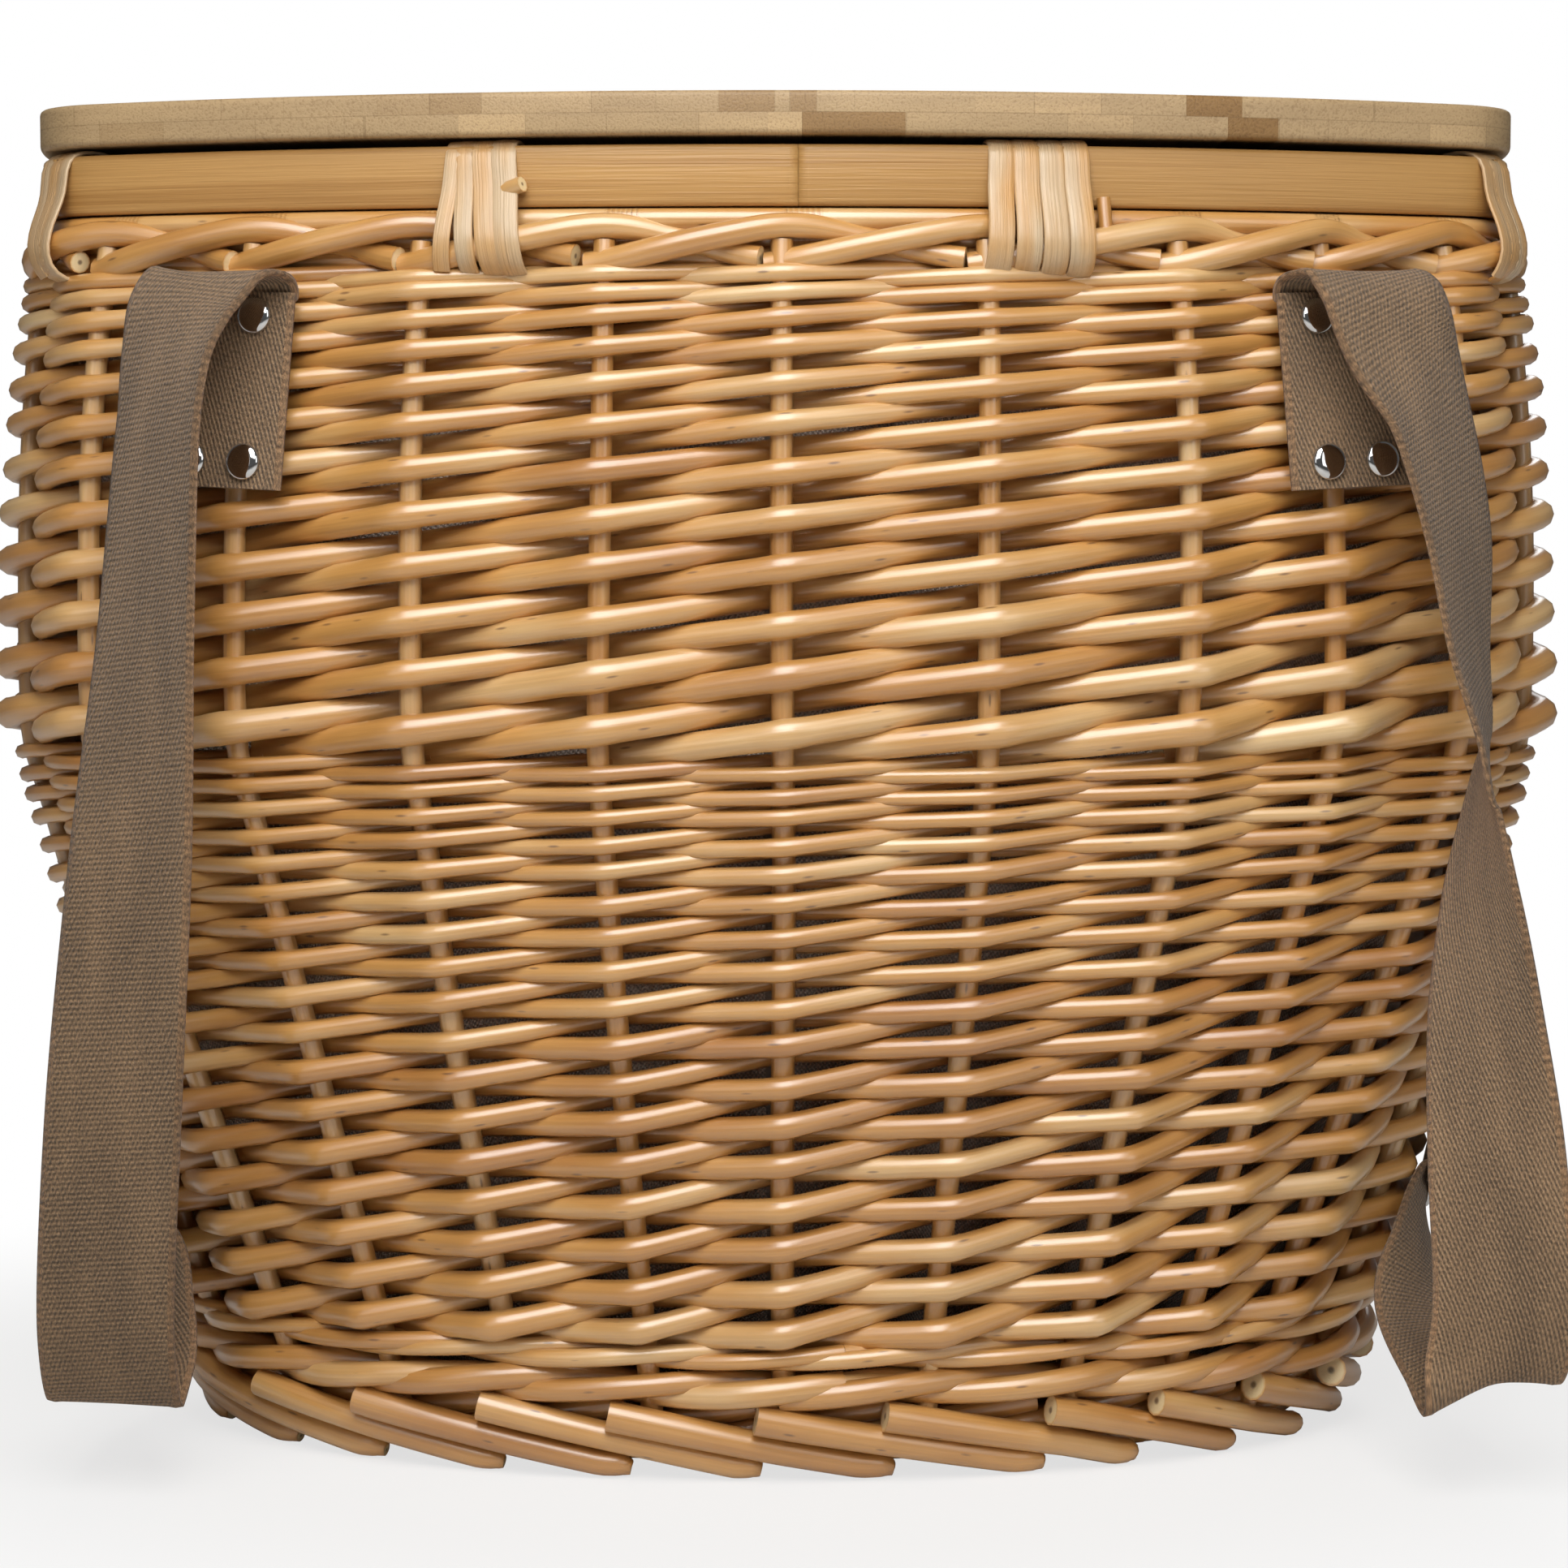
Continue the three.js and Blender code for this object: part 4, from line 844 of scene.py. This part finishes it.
class BASKET_OT_liner(bpy.types.Operator):
    """Lining cloth: a bag that follows the wall inside, with shallow folds, closed at the base and hemmed
    at the mouth."""

    bl_idname = "basket.liner"
    bl_label = "Liner"

    def execute(self, context):
        shape = context.scene.basket_shape
        low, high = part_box("liner")
        thick, clear, folds = 1.2 * MM, 0.8 * MM, 23
        floor = low.z + 0.4 * MM
        neck, neck_height = 330 * MM, 14 * MM
        mouth_width, mouth_depth = high.x - 18.5 * MM, high.y - 12.5 * MM
        z = np.concatenate([np.linspace(floor, 335 * MM, 64), np.linspace(340 * MM, high.z, 10)])
        turn = np.linspace(0, 1, 361)[:-1]
        width, depth, squareness = stake_line(z, shape)
        near_waist = np.exp(-((z - shape.waist_height) / (12 * MM)) ** 2)
        inset = np.maximum(wall_offset(z, shape), shape.stake / 2 + shape.upper_butt * near_waist) + clear
        inset = inset + 6 * MM * np.clip(1 - (z - low.z) / (25 * MM), 0, 1)
        blend = np.clip((z - neck) / neck_height, 0, 1)
        half_x = (width - inset) * (1 - blend) + mouth_width * blend
        half_y = (depth - inset) * (1 - blend) + mouth_depth * blend
        level = z[:, None]
        fold = 0.9 * MM * np.sin(2 * math.pi * turn * folds + 3 * np.sin(level * 18))
        fold = fold * np.clip((level - low.z) / (60 * MM), 0, 1)
        fold = fold * np.clip((high.z - level) / (40 * MM), 0, 1) - 1.2 * MM
        flat = plan(np.broadcast_to(turn, fold.shape), half_x[:, None] + fold, half_y[:, None] + fold,
                    np.broadcast_to(squareness[:, None], fold.shape), shape)
        outer = np.concatenate([flat, np.broadcast_to(level[..., None], (*fold.shape, 1))], -1)
        inner = outer - unit(outer * np.array([1, 1, 0])) * thick
        inner[..., 2] = np.maximum(inner[..., 2], floor + thick)
        shares = np.array([0.02, 0.35, 0.7])[:, None, None] * np.array([1, 1, 0])
        under = outer[:1] * shares + np.array([0, 0, floor])
        over = inner[:1] * shares + np.array([0, 0, floor + thick])
        rings = np.concatenate([under, outer, inner[::-1], over[::-1]])
        along = run_length(rings.swapaxes(0, 1)).T
        band = np.stack([np.broadcast_to(turn * 1.13, along.shape), along, np.zeros(along.shape)], -1)
        piece = add_mesh("lining", loft(rings, band=band), get_material("lining_cloth", cloth), "basket",
                         ("liner",))
        return {"FINISHED"}


# Rim frame and bindings

def rail_points(turn, section, shape):
    """Rings of a rail: section points as distance in from the outline and height."""
    flat = rim_plan(turn[:, None], section[:, 0], shape)
    z = np.broadcast_to(section[:, 1], flat.shape[:2])
    return np.concatenate([flat, z[..., None]], -1)


def rounded(width, height, bevel, parts=4):
    """Points of a rectangle with rounded corners, from 0 to width and 0 to height."""
    turn = np.linspace(0, math.pi / 2, parts)
    corners = [(width - bevel, height - bevel, 0), (bevel, height - bevel, 1), (bevel, bevel, 2),
               (width - bevel, bevel, 3)]
    return np.concatenate([np.stack([x + bevel * np.cos(turn + k * math.pi / 2),
                                     y + bevel * np.sin(turn + k * math.pi / 2)], -1) for x, y, k in corners])


def turn_at_x(x, shape):
    """Turn at which the rim outline has a given x, on the front."""
    turns = np.linspace(-0.25, 0.25, 4001)
    return np.interp(x, rim_plan(turns, 0, shape)[:, 0], turns)


class BASKET_OT_rails(bpy.types.Operator):
    """Pine rim frame: rails of rounded section swept along the rim's outline."""

    bl_idname = "basket.rails"
    bl_label = "Rails"

    def execute(self, context):
        shape = context.scene.basket_shape
        low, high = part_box("front_rail_left")
        whole, corner = rim_length(shape)
        joint = float(turn_at_x(6.5 * MM, shape))
        gap = 0.05 * MM / whole
        spans = {
            "front_rail_left": (-corner, joint), "front_rail_right": (joint, corner),
            "end_rail_right": (corner, 0.5 - corner), "back_rail_right": (0.5 - corner, 0.5 - joint),
            "back_rail_left": (0.5 - joint, 0.5 + corner), "end_rail_left": (0.5 + corner, 1 - corner),
        }
        section = rounded(shape.rail_thickness, high.z - low.z, 1.4 * MM) + np.array([0, low.z])
        for index, (name, (start, end)) in enumerate(spans.items()):
            turn = np.linspace(start + gap, end - gap, 81)
            rings = rail_points(turn, section, shape)
            grain = np.stack(np.broadcast_arrays(section[:, 0] + index * 0.31, section[:, 1],
                                                 (turn * whole + index * 3.7)[:, None]), -1)
            add_mesh(name + "_pine", loft(rings, grain=grain), get_material("varnished_pine", pine), "basket",
                     (name,))
        return {"FINISHED"}


# Strands of each binding in front: distance along the rim from the binding's middle at the top and at
# the bottom, and width, in millimetres
FRONT_LEFT = ((-8.2, -10.5, 4.8), (-5.4, -2.8, 5.4), (-0.4, 3.8, 6.0), (5.8, 9.8, 7.2))
FRONT_RIGHT = ((-10.5, -12.8, 7.4), (-3.5, -4.4, 7.4), (3.6, 3.4, 7.4), (10.6, 11.0, 7.4))
CORNER_LEFT = ((-4.4, 3.4, 6.0), (0.6, 6.4, 6.2), (5.4, 8.8, 6.0))
CORNER_RIGHT = ((-5.4, -8.8, 6.0), (-0.6, -4.2, 6.2), (4.4, 0.4, 6.0))
BINDINGS = {
    "binding_front_left": (-81, False, FRONT_LEFT), "binding_front_right": (73, False, FRONT_RIGHT),
    "binding_back_left": (-81, True, FRONT_RIGHT), "binding_back_right": (73, True, FRONT_LEFT),
    "binding_corner_front_left": (None, False, CORNER_LEFT),
    "binding_corner_front_right": (None, False, CORNER_RIGHT),
    "binding_corner_back_left": (None, True, CORNER_RIGHT),
    "binding_corner_back_right": (None, True, CORNER_LEFT),
}

# Cut ends that stand out beside the front bindings: x, height and distance out from the rail at the start
# and at the end, and radius, in millimetres
STUBS = ((-76, 368.5, 1, -69.8, 370.6, 3.6, 2.3), (91.2, 367, 2, 91.8, 358.6, 3.4, 2.0))


SKEIN_WIDTH = 6.4


def binding_hull(bulge, inner, top, middle, bottom):
    """Section of a binding's turn in millimetres: up in front over the border and the rail, over the top and
    down behind. Each row has the distance out, the height and the share of the way from bottom to top."""
    return np.array([
        (bulge - 3.5, bottom - 0.6, 0), (bulge + 0.6, bottom + 3.5, 0.12), (bulge + 0.9, bottom + 9, 0.3),
        (0.5 * bulge + 1.6, middle - 0.6, 0.55), (1.3, middle + 6, 0.75), (1.2, top - 2.5, 1),
        (-0.8, top + 1.2, 1), (-6, top + 1.5, 1), (inner + 1.5, top + 1.2, 1), (inner - 1.1, top - 2, 0.9),
        (inner - 1.2, middle, 0.6), (inner - 1.2, bottom + 4, 0.3), (inner + 1, bottom - 0.8, 0),
        (-4, bottom - 1.2, 0)])


def binding_route(hull, strands):
    """Smooth route of a skein through all its turns: distance out, height, distance along and width in
    millimetres. In front a strand goes from its bottom to its top, behind it goes on to the next one."""
    front = np.arange(len(hull)) < 7
    place = hull[:, 2]
    knots = []
    for (at_top, at_bottom, width), after in zip(strands, (*strands[1:], strands[-1])):
        lower = np.where(front, at_bottom, after[1])
        knots.append(np.column_stack([hull[:, :2], lower + (at_top - lower) * place,
                                      np.full(len(hull), width)]))
    knots = np.concatenate(knots)
    spread = run_length(knots[:, :3])
    fine = np.linspace(0, spread[-1], 34 * len(strands))
    return smoothed(resampled(fine, spread, knots), np.array([1, 2, 3, 2, 1]))


class BASKET_OT_bindings(bpy.types.Operator):
    """Skein bindings: flat strips wound round the rail and the border, each strand from its place at the
    bottom to its place at the top, over the rail, down behind and under to the next."""

    bl_idname = "basket.bindings"
    bl_label = "Bindings"

    def execute(self, context):
        shape = context.scene.basket_shape
        rng = np.random.default_rng(41)
        low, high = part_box("front_rail_left")
        border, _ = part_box("top_border")
        _, corner = rim_length(shape)
        step = 1e-3
        for name, (x, back, strands) in BINDINGS.items():
            side = -1 if "left" in name else 1
            turn = side * corner if x is None else float(turn_at_x(x * MM, shape))
            turn = 0.5 - turn if back else turn
            before, seat, after = rim_plan(turn + np.array([-step, 0, step]), 0, shape)
            forward = unit(after - before)
            out = np.array([forward[1], -forward[0]])
            slack = 4.2 if x is None else 0.3
            edge = wall(np.array([turn]), border.z, 9 * MM, shape)[0, :2]
            hull = binding_hull((edge - seat) @ out / MM, -(shape.rail_thickness / MM + slack), high.z / MM,
                                low.z / MM, border.z / MM)
            route = binding_route(hull, strands)
            flat = seat + (route[:, :1] * out + route[:, 2:3] * forward) * MM
            path = np.concatenate([flat, route[:, 1:2] * MM], -1)[None]
            mesh = rods(path, route[None, :, 3] / 2 * MM, np.array([*forward, 0]), 16, rng,
                        shape.skein_thickness / (SKEIN_WIDTH * MM), 0.55)
            add_mesh(name + "_skein", mesh, get_material("split_willow", split_willow), "basket", (name,))
        rows = np.array(STUBS) * MM
        ends = []
        for x, z, out in (rows[:, :3].T, rows[:, 3:6].T):
            flat = rim_plan(turn_at_x(x, shape), 0, shape)
            ends.append(np.column_stack([flat[:, 0], flat[:, 1] - out, z])[:, None])
        paths = ends[0] + (ends[1] - ends[0]) * np.linspace(0, 1, 6)[:, None]
        mesh = rods(paths, np.broadcast_to(rows[:, 6:], paths.shape[:2]), np.array([0, -1.0, 0]), 10, rng)
        add_mesh("binding_stubs", mesh, pale_willow(), "basket", ())
        return {"FINISHED"}


# Lid

class BASKET_OT_lid(bpy.types.Operator):
    """Laminated bamboo lid: the rim's outline grown a little, with rounded edges, and its two pine cleats
    with ends that slope up."""

    bl_idname = "basket.lid"
    bl_label = "Lid"

    def execute(self, context):
        shape = context.scene.basket_shape
        low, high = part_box("lid_board")
        turn = np.linspace(0, 1, 361)[:-1]
        round_off, middle_inset = 1.6 * MM, 60 * MM
        bend = np.linspace(0, math.pi / 2, 5)
        lower = [(round_off * (1 - math.sin(b)), low.z + round_off * (1 - math.cos(b))) for b in bend]
        upper = [(inset, low.z + high.z - z) for inset, z in reversed(lower)]
        rings = []
        for inset, z in [(middle_inset, low.z), *lower, *upper, (middle_inset, high.z)]:
            flat = plan(turn, high.x - inset, high.y - inset, np.ones(turn.shape), shape)
            rings.append(np.column_stack([flat, np.full(len(turn), z)]))
        add_mesh("lid_bamboo", loft(np.array(rings)), get_material("laminated_bamboo", bamboo), "lid",
                 ("lid_board",))
        slope = 3 * MM
        for name in ("lid_cleat_front", "lid_cleat_back"):
            low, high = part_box(name)
            section = rounded(high.y - low.y, high.z - low.z, 1.5 * MM) + np.array([low.y, low.z])
            along = np.linspace(low.x, high.x, 25)[:, None]
            shrink = np.clip(np.minimum(along - low.x, high.x - along) / slope, 0, 1)
            rise = (1 - shrink) * slope * (section[:, 1] < (low.z + high.z) / 2)
            rings = np.stack(np.broadcast_arrays(along, section[:, 0], section[:, 1] + rise), -1)
            add_mesh(name + "_pine", loft(rings, grain=rings[..., [1, 2, 0]]),
                     get_material("varnished_pine", pine), "lid", (name,))
        return {"FINISHED"}


# Straps and rivets

# Free run of each strap: height, distance along the rim from the tab towards the end, distance out from
# the wall, the width's turn in degrees from the wall's tangent and its dip, in millimetres
LEFT_RUN = np.array([
    (344.1, 0, 3.6, 0, 0), (345.8, 0.5, 8.5, 0, 0), (345.3, 2, 15, 3, 0), (338.5, 5, 20, 12, 0),
    (325.5, 7, 22.4, 24, 0), (304.5, 8, 22.2, 28, 0), (241.5, 9.6, 21.5, 19.2, 0),
    (185.5, 16.4, 33.7, 2.2, 0), (108.5, 29.5, 52.4, -17.8, 0), (47.5, 40.5, 64.2, -24, 0),
    (27.5, 47, 61, -25, 0), (32.5, 52, 49, -20, 0), (42, 66, 27, 0, 0.15), (52, 82, 10, 0, 0.4),
])
RIGHT_RUN = np.array([
    (344.1, 0, 3.6, 0, 0), (345.8, 0.5, 8.5, 0, 0), (345.8, 2, 15, -1, 0), (341, 3.2, 20, -3, 0),
    (326.5, 6.2, 22.4, -7, 0), (308.5, 12, 23, -24.5, 0), (275.5, 17.5, 24.5, -31, 0),
    (241.5, 20, 24.5, -42, 0), (214.5, 23.5, 25.5, -54, 0), (200.5, 28, 29.5, -66.5, 0),
    (173.5, 31.3, 34, -85, 0), (140.5, 34, 45, -102.8, 0), (95.5, 38.5, 62, -123, 0),
    (51.5, 44, 74, -130, -0.3), (33.5, 47, 71, -132, -0.42), (38.5, 50.5, 58, -138, -0.38),
    (44, 64, 31, -150, 0.15), (52, 79, 17, -164, 0.55),
])
LEFT_TAB_X, RIGHT_TAB_X, TAB_HEIGHT, TAB_LENGTH = 147.5, 153.5, 314.5, 56
ANCHOR_FROM_MIDDLE, ANCHOR_HEIGHT, ANCHOR_LENGTH, ANCHOR_LEAN = 14, 92, 52, 0.55
STRAP_SEAT = 0.6
RIVET_FROM_MIDDLE_ALONG, RIVET_FROM_MIDDLE_ACROSS = 20.5, 8.5
RIVET_FLANGE, RIVET_DOME, RIVET_GAP = 0.5, 1.9, 0.05


def wall_frame(turn, z, lean, shape):
    """Seat on the wall's face with directions across, along and out, at one place."""
    step = MM / rim_length(shape)[0]

    def at(t, h):
        return wall(np.array([t]), np.array([h]), wall_offset(np.array([h]), shape), shape)[0]

    across = unit(at(turn + step, z) - at(turn - step, z))
    rise = unit(at(turn, z + MM) - at(turn, z - MM))
    out = unit(np.cross(across, rise))
    along = unit(rise + across * lean)
    return {"seat": at(turn, z), "across": across, "along": along, "out": out,
            "side": unit(np.cross(along, out))}


def strap_ends(sign, shape):
    """Turn at a strap's riveted tab in front, and the frames of the tab and of the anchor on the end wall."""
    tab_x = RIGHT_TAB_X if sign > 0 else LEFT_TAB_X
    tab_turn = sign * float(turn_at_x(tab_x * MM, shape))
    anchor_turn = sign * (0.25 - ANCHOR_FROM_MIDDLE * MM / rim_length(shape)[0])
    tab = wall_frame(tab_turn, TAB_HEIGHT * MM, 0, shape)
    anchor = wall_frame(anchor_turn, ANCHOR_HEIGHT * MM, sign * ANCHOR_LEAN, shape)
    return tab_turn, tab, anchor


def centripetal(knots, points):
    """Smooth curve through points: each stretch is a cubic whose slopes follow from the root of the
    distances between points."""
    ends = np.concatenate([[2 * knots[0] - knots[1]], knots, [2 * knots[-1] - knots[-2]]])
    root = np.maximum(np.linalg.norm(np.diff(ends[:, :3], axis=0), axis=1) ** 0.5, 1e-9)
    slopes = []
    for i in range(1, len(ends) - 1):
        a, b = root[i - 1], root[i]
        slopes.append((ends[i] - ends[i - 1]) / a - (ends[i + 1] - ends[i - 1]) / (a + b)
                      + (ends[i + 1] - ends[i]) / b)
    out = []
    share = np.linspace(0, 1, points, endpoint=False)[:, None]
    for i in range(len(knots) - 1):
        h = root[i + 1]
        s2, s3 = share ** 2, share ** 3
        out.append((2 * s3 - 3 * s2 + 1) * knots[i] + (s3 - 2 * s2 + share) * h * slopes[i]
                   + (3 * s2 - 2 * s3) * knots[i + 1] + (s3 - s2) * h * slopes[i + 1])
    return np.concatenate(out + [knots[-1:]])


def between(values, points):
    """Straight steps between values, as many as the curve has, smoothed a little."""
    place = np.linspace(0, len(values) - 1, (len(values) - 1) * points + 1)
    return smoothed(resampled(place, np.arange(len(values)), values), np.hanning(points + 3)[1:-1])


def strap_route(sign, run, shape):
    """Knots along a strap's middle with the direction of its width at each: the tab, the free run and the
    anchor."""
    tab_turn, tab, anchor = strap_ends(sign, shape)
    whole, _ = rim_length(shape)
    stand = STRAP_SEAT * MM + shape.strap_thickness / 2
    shares = np.array([-0.5, -0.45, 0, 0.45, 0.5])[:, None]
    tab_knots, anchor_knots = (
        end["seat"] + shares * length * MM * end["along"] + stand * end["out"]
        for end, length in ((tab, TAB_LENGTH), (anchor, ANCHOR_LENGTH)))
    free, widths = [], []
    for z, along, out, yaw, dip in run:
        place = wall_frame(tab_turn + sign * along * MM / whole, z * MM, 0, shape)
        level = np.array([place["across"][1], -place["across"][0], 0])
        turned = math.radians(yaw)
        free.append(place["seat"] + level * out * MM)
        widths.append(np.array([0, 0, dip]) + place["across"] * math.cos(turned) + level * math.sin(turned))
    anchor_side = anchor["side"] * np.sign(anchor["side"] @ widths[-1])
    return (np.concatenate([tab_knots, free, anchor_knots]),
            np.concatenate([[tab["side"]] * len(shares), widths, [anchor_side] * len(shares)]))


class BASKET_OT_straps(bpy.types.Operator):
    """Webbing straps: flat bands along smooth routes from the tab in front, down and back up to the anchor
    on the end wall, with thicker edges."""

    bl_idname = "basket.straps"
    bl_label = "Straps"

    def execute(self, context):
        shape = context.scene.basket_shape
        steps, points = 16, 21
        share = np.concatenate([np.linspace(-1, 1, points), np.linspace(1, -1, points)])
        skin = np.repeat([-1.0, 1.0], points)
        edge = 1 + 0.22 * (np.abs(share) > 0.88) - 0.55 * (np.abs(share) > 0.99)
        height = skin * edge * shape.strap_thickness / 2 * 0.86
        across = share * shape.strap_width / 2
        for side, sign, run in (("left", -1, LEFT_RUN), ("right", 1, RIGHT_RUN)):
            knots, widths = strap_route(sign, run, shape)
            path = centripetal(knots, steps)
            tangent = unit(np.gradient(path, axis=0))
            width = between(unit(widths), steps)
            width = unit(width - (width * tangent).sum(1, keepdims=True) * tangent)
            face = np.cross(tangent, width)
            rings = path[:, None] + width[:, None] * across[:, None] + face[:, None] * height[:, None]
            length = run_length(path)
            band = np.stack(np.broadcast_arrays(across, length[:, None], skin), -1)
            piece = add_mesh(side + "_strap_webbing", loft(rings, band=band),
                             get_material("cotton_webbing", twill), "basket", (side + "_strap",))
        return {"FINISHED"}


class BASKET_OT_rivets(bpy.types.Operator):
    """Chrome rivets: a dome turned round its axis over a thin flange, four on each strap end."""

    bl_idname = "basket.rivets"
    bl_label = "Rivets"

    def execute(self, context):
        shape = context.scene.basket_shape
        turn = np.linspace(0, 2 * math.pi, 33)[:-1, None]
        rise = np.linspace(0, math.pi / 2, 9)[1:]
        cap = shape.rivet_cap / 2
        radii = np.concatenate([[cap * 0.3, cap * 0.97, cap], cap * np.cos(rise) ** 0.6 + 1e-5])
        heights = np.concatenate([[0, 0, RIVET_FLANGE], RIVET_FLANGE + RIVET_DOME * np.sin(rise)]) * MM
        stand = (STRAP_SEAT + RIVET_GAP) * MM + shape.strap_thickness
        for side, sign in (("left", -1), ("right", 1)):
            _, tab, anchor = strap_ends(sign, shape)
            for (place, end), (row, up), (column, over) in itertools.product(
                    (("top", tab), ("anchor", anchor)), (("upper", 1), ("lower", -1)),
                    (("left", -1), ("right", 1))):
                foot = (end["seat"] + end["along"] * up * RIVET_FROM_MIDDLE_ALONG * MM
                        + end["side"] * over * RIVET_FROM_MIDDLE_ACROSS * MM + end["out"] * stand)
                spokes = np.cos(turn) * end["side"] + np.sin(turn) * np.cross(end["out"], end["side"])
                rings = foot + radii[:, None, None] * spokes + heights[:, None, None] * end["out"]
                node = f"{side}_{place}_rivet_{row}_{column}"
                add_mesh(node + "_cap", loft(rings), get_material("polished_chrome", chrome), "basket",
                         (node,))
        return {"FINISHED"}


# Stage

# Soft lamps: place, size, power in watts and the point that each is aimed at
LAMPS = {
    "left_softbox": ((-0.95, -1.25, 0.75), (0.6, 0.9), 1.8, (0, 0, 0.32)),
    "right_softbox": ((0.98, -1.25, 0.78), (0.6, 0.9), 3.2, (0, 0, 0.32)),
    "top_softbox": ((-0.05, -0.82, 1.08), (0.75, 1.0), 14.5, (0, 0, 0.36)),
    "back_softbox": ((0.2, 1.7, 1.3), (1.2, 0.9), 12, (0, 0, 0.25)),
}
WORLD_LIGHT = 0.09
FLOOR_REACH, FLOOR_GAP = 6, 0.0004
CAMERA_PLACE, CAMERA_TILT, CAMERA_LENS = (0.0025, -1.24, 0.2965), 4.71, 92.24


def pale_floor(name, colours):
    """Pale floor that fades into white away from the basket, for the camera only."""
    made, tree, shader = surface(name)
    shader.inputs["Base Color"].default_value = rgba(colours.floor)
    shader.inputs["Roughness"].default_value = 0.9
    light = add(tree, "ShaderNodeLightPath")
    glow = add(tree, "ShaderNodeEmission", {"Color": rgba(WHITE), "Strength": 1.0})
    place = scaled(tree, add(tree, "ShaderNodeTexCoord").outputs["Object"], (1, 1.3, 1))
    away = add(tree, "ShaderNodeVectorMath", links={0: place}, operation="LENGTH")
    fade = add(tree, "ShaderNodeMapRange",
               {"From Min": 0.2, "From Max": 0.5, "To Min": 0.72, "To Max": 1.0},
               {"Value": away.outputs["Value"]}, interpolation_type="SMOOTHSTEP")
    seen = times(tree, light.outputs["Is Camera Ray"], fade.outputs["Result"])
    blend = add(tree, "ShaderNodeMixShader",
                links={0: seen, 1: shader.outputs["BSDF"], 2: glow.outputs["Emission"]})
    tree.links.new(blend.outputs["Shader"], tree.nodes["Material Output"].inputs["Surface"])
    return made


def white_world():
    """World that the camera sees as white and that lights the scene only a little."""
    world = bpy.data.worlds.new("studio")
    world.use_nodes = True
    tree = world.node_tree
    back = tree.nodes["Background"]
    back.inputs["Color"].default_value = rgba(WHITE)
    seen = add(tree, "ShaderNodeLightPath").outputs["Is Camera Ray"]
    tree.links.new(maths(tree, "MAXIMUM", seen, WORLD_LIGHT), back.inputs["Strength"])
    return world


class BASKET_OT_stage(bpy.types.Operator):
    """Pale floor, white surroundings, soft lamps at both sides, above and behind, and a camera in front."""

    bl_idname = "basket.stage"
    bl_label = "Stage"

    def execute(self, context):
        scene = context.scene
        scene.view_settings.view_transform = "Standard"
        floor = bpy.data.meshes.new("floor")
        corners = np.array([(-1, -1, 0), (1, -1, 0), (1, 1, 0), (-1, 1, 0)]) * FLOOR_REACH
        floor.from_pydata(corners - np.array([0, 0, FLOOR_GAP]), [], [(0, 1, 2, 3)])
        floor.materials.append(get_material("pale_floor", pale_floor))
        piece = bpy.data.objects.new("floor", floor)
        scene.collection.objects.link(piece)
        scene.world = white_world()
        for name, (place, size, power, target) in LAMPS.items():
            lamp = bpy.data.lights.new(name, "AREA")
            lamp.shape = "RECTANGLE"
            lamp.size, lamp.size_y = size
            lamp.energy = power
            item = bpy.data.objects.new(name, lamp)
            item.location = place
            x, y, z = np.array(target) - np.array(place)
            item.rotation_euler = (math.atan2(math.hypot(x, y), -z), 0, math.atan2(y, x) - math.pi / 2)
            scene.collection.objects.link(item)
        camera = bpy.data.cameras.new("camera")
        camera.sensor_width = 36
        camera.lens = CAMERA_LENS
        item = bpy.data.objects.new("camera", camera)
        item.location = CAMERA_PLACE
        item.rotation_euler = (math.radians(90 - CAMERA_TILT), 0, 0)
        scene.collection.objects.link(item)
        scene.camera = item
        return {"FINISHED"}


OPERATORS = (
    BASKET_OT_stakes, BASKET_OT_upper_band, BASKET_OT_lower_band, BASKET_OT_wales, BASKET_OT_foot_border,
    BASKET_OT_top_border, BASKET_OT_base, BASKET_OT_liner, BASKET_OT_rails, BASKET_OT_bindings,
    BASKET_OT_lid, BASKET_OT_straps, BASKET_OT_rivets, BASKET_OT_stage,
)


class BASKET_PT_panel(bpy.types.Panel):
    """Panel that lists the sizes, the colours and the pieces."""

    bl_idname = "BASKET_PT_panel"
    bl_label = "Picnic basket"
    bl_space_type = "VIEW_3D"
    bl_region_type = "UI"
    bl_category = "Basket"

    def draw(self, context):
        layout = self.layout
        for group in (context.scene.basket_shape, context.scene.basket_colours):
            column = layout.column()
            for name in group.__annotations__:
                column.prop(group, name)
        for operator in OPERATORS:
            layout.operator(operator.bl_idname)


CLASSES = (BasketShape, BasketColours, *OPERATORS, BASKET_PT_panel)


def register():
    """Registers the classes and the scene's settings."""
    for item in CLASSES:
        bpy.utils.register_class(item)
    bpy.types.Scene.basket_shape = bpy.props.PointerProperty(type=BasketShape)
    bpy.types.Scene.basket_colours = bpy.props.PointerProperty(type=BasketColours)


def unregister():
    """Removes the classes and the scene's settings."""
    del bpy.types.Scene.basket_shape
    del bpy.types.Scene.basket_colours
    for item in reversed(CLASSES):
        bpy.utils.unregister_class(item)


def main():
    """Builds every piece in order."""
    register()
    for operator in OPERATORS:
        group, name = operator.bl_idname.split(".")
        getattr(getattr(bpy.ops, group), name)()


if __name__ == "__main__":
    main()
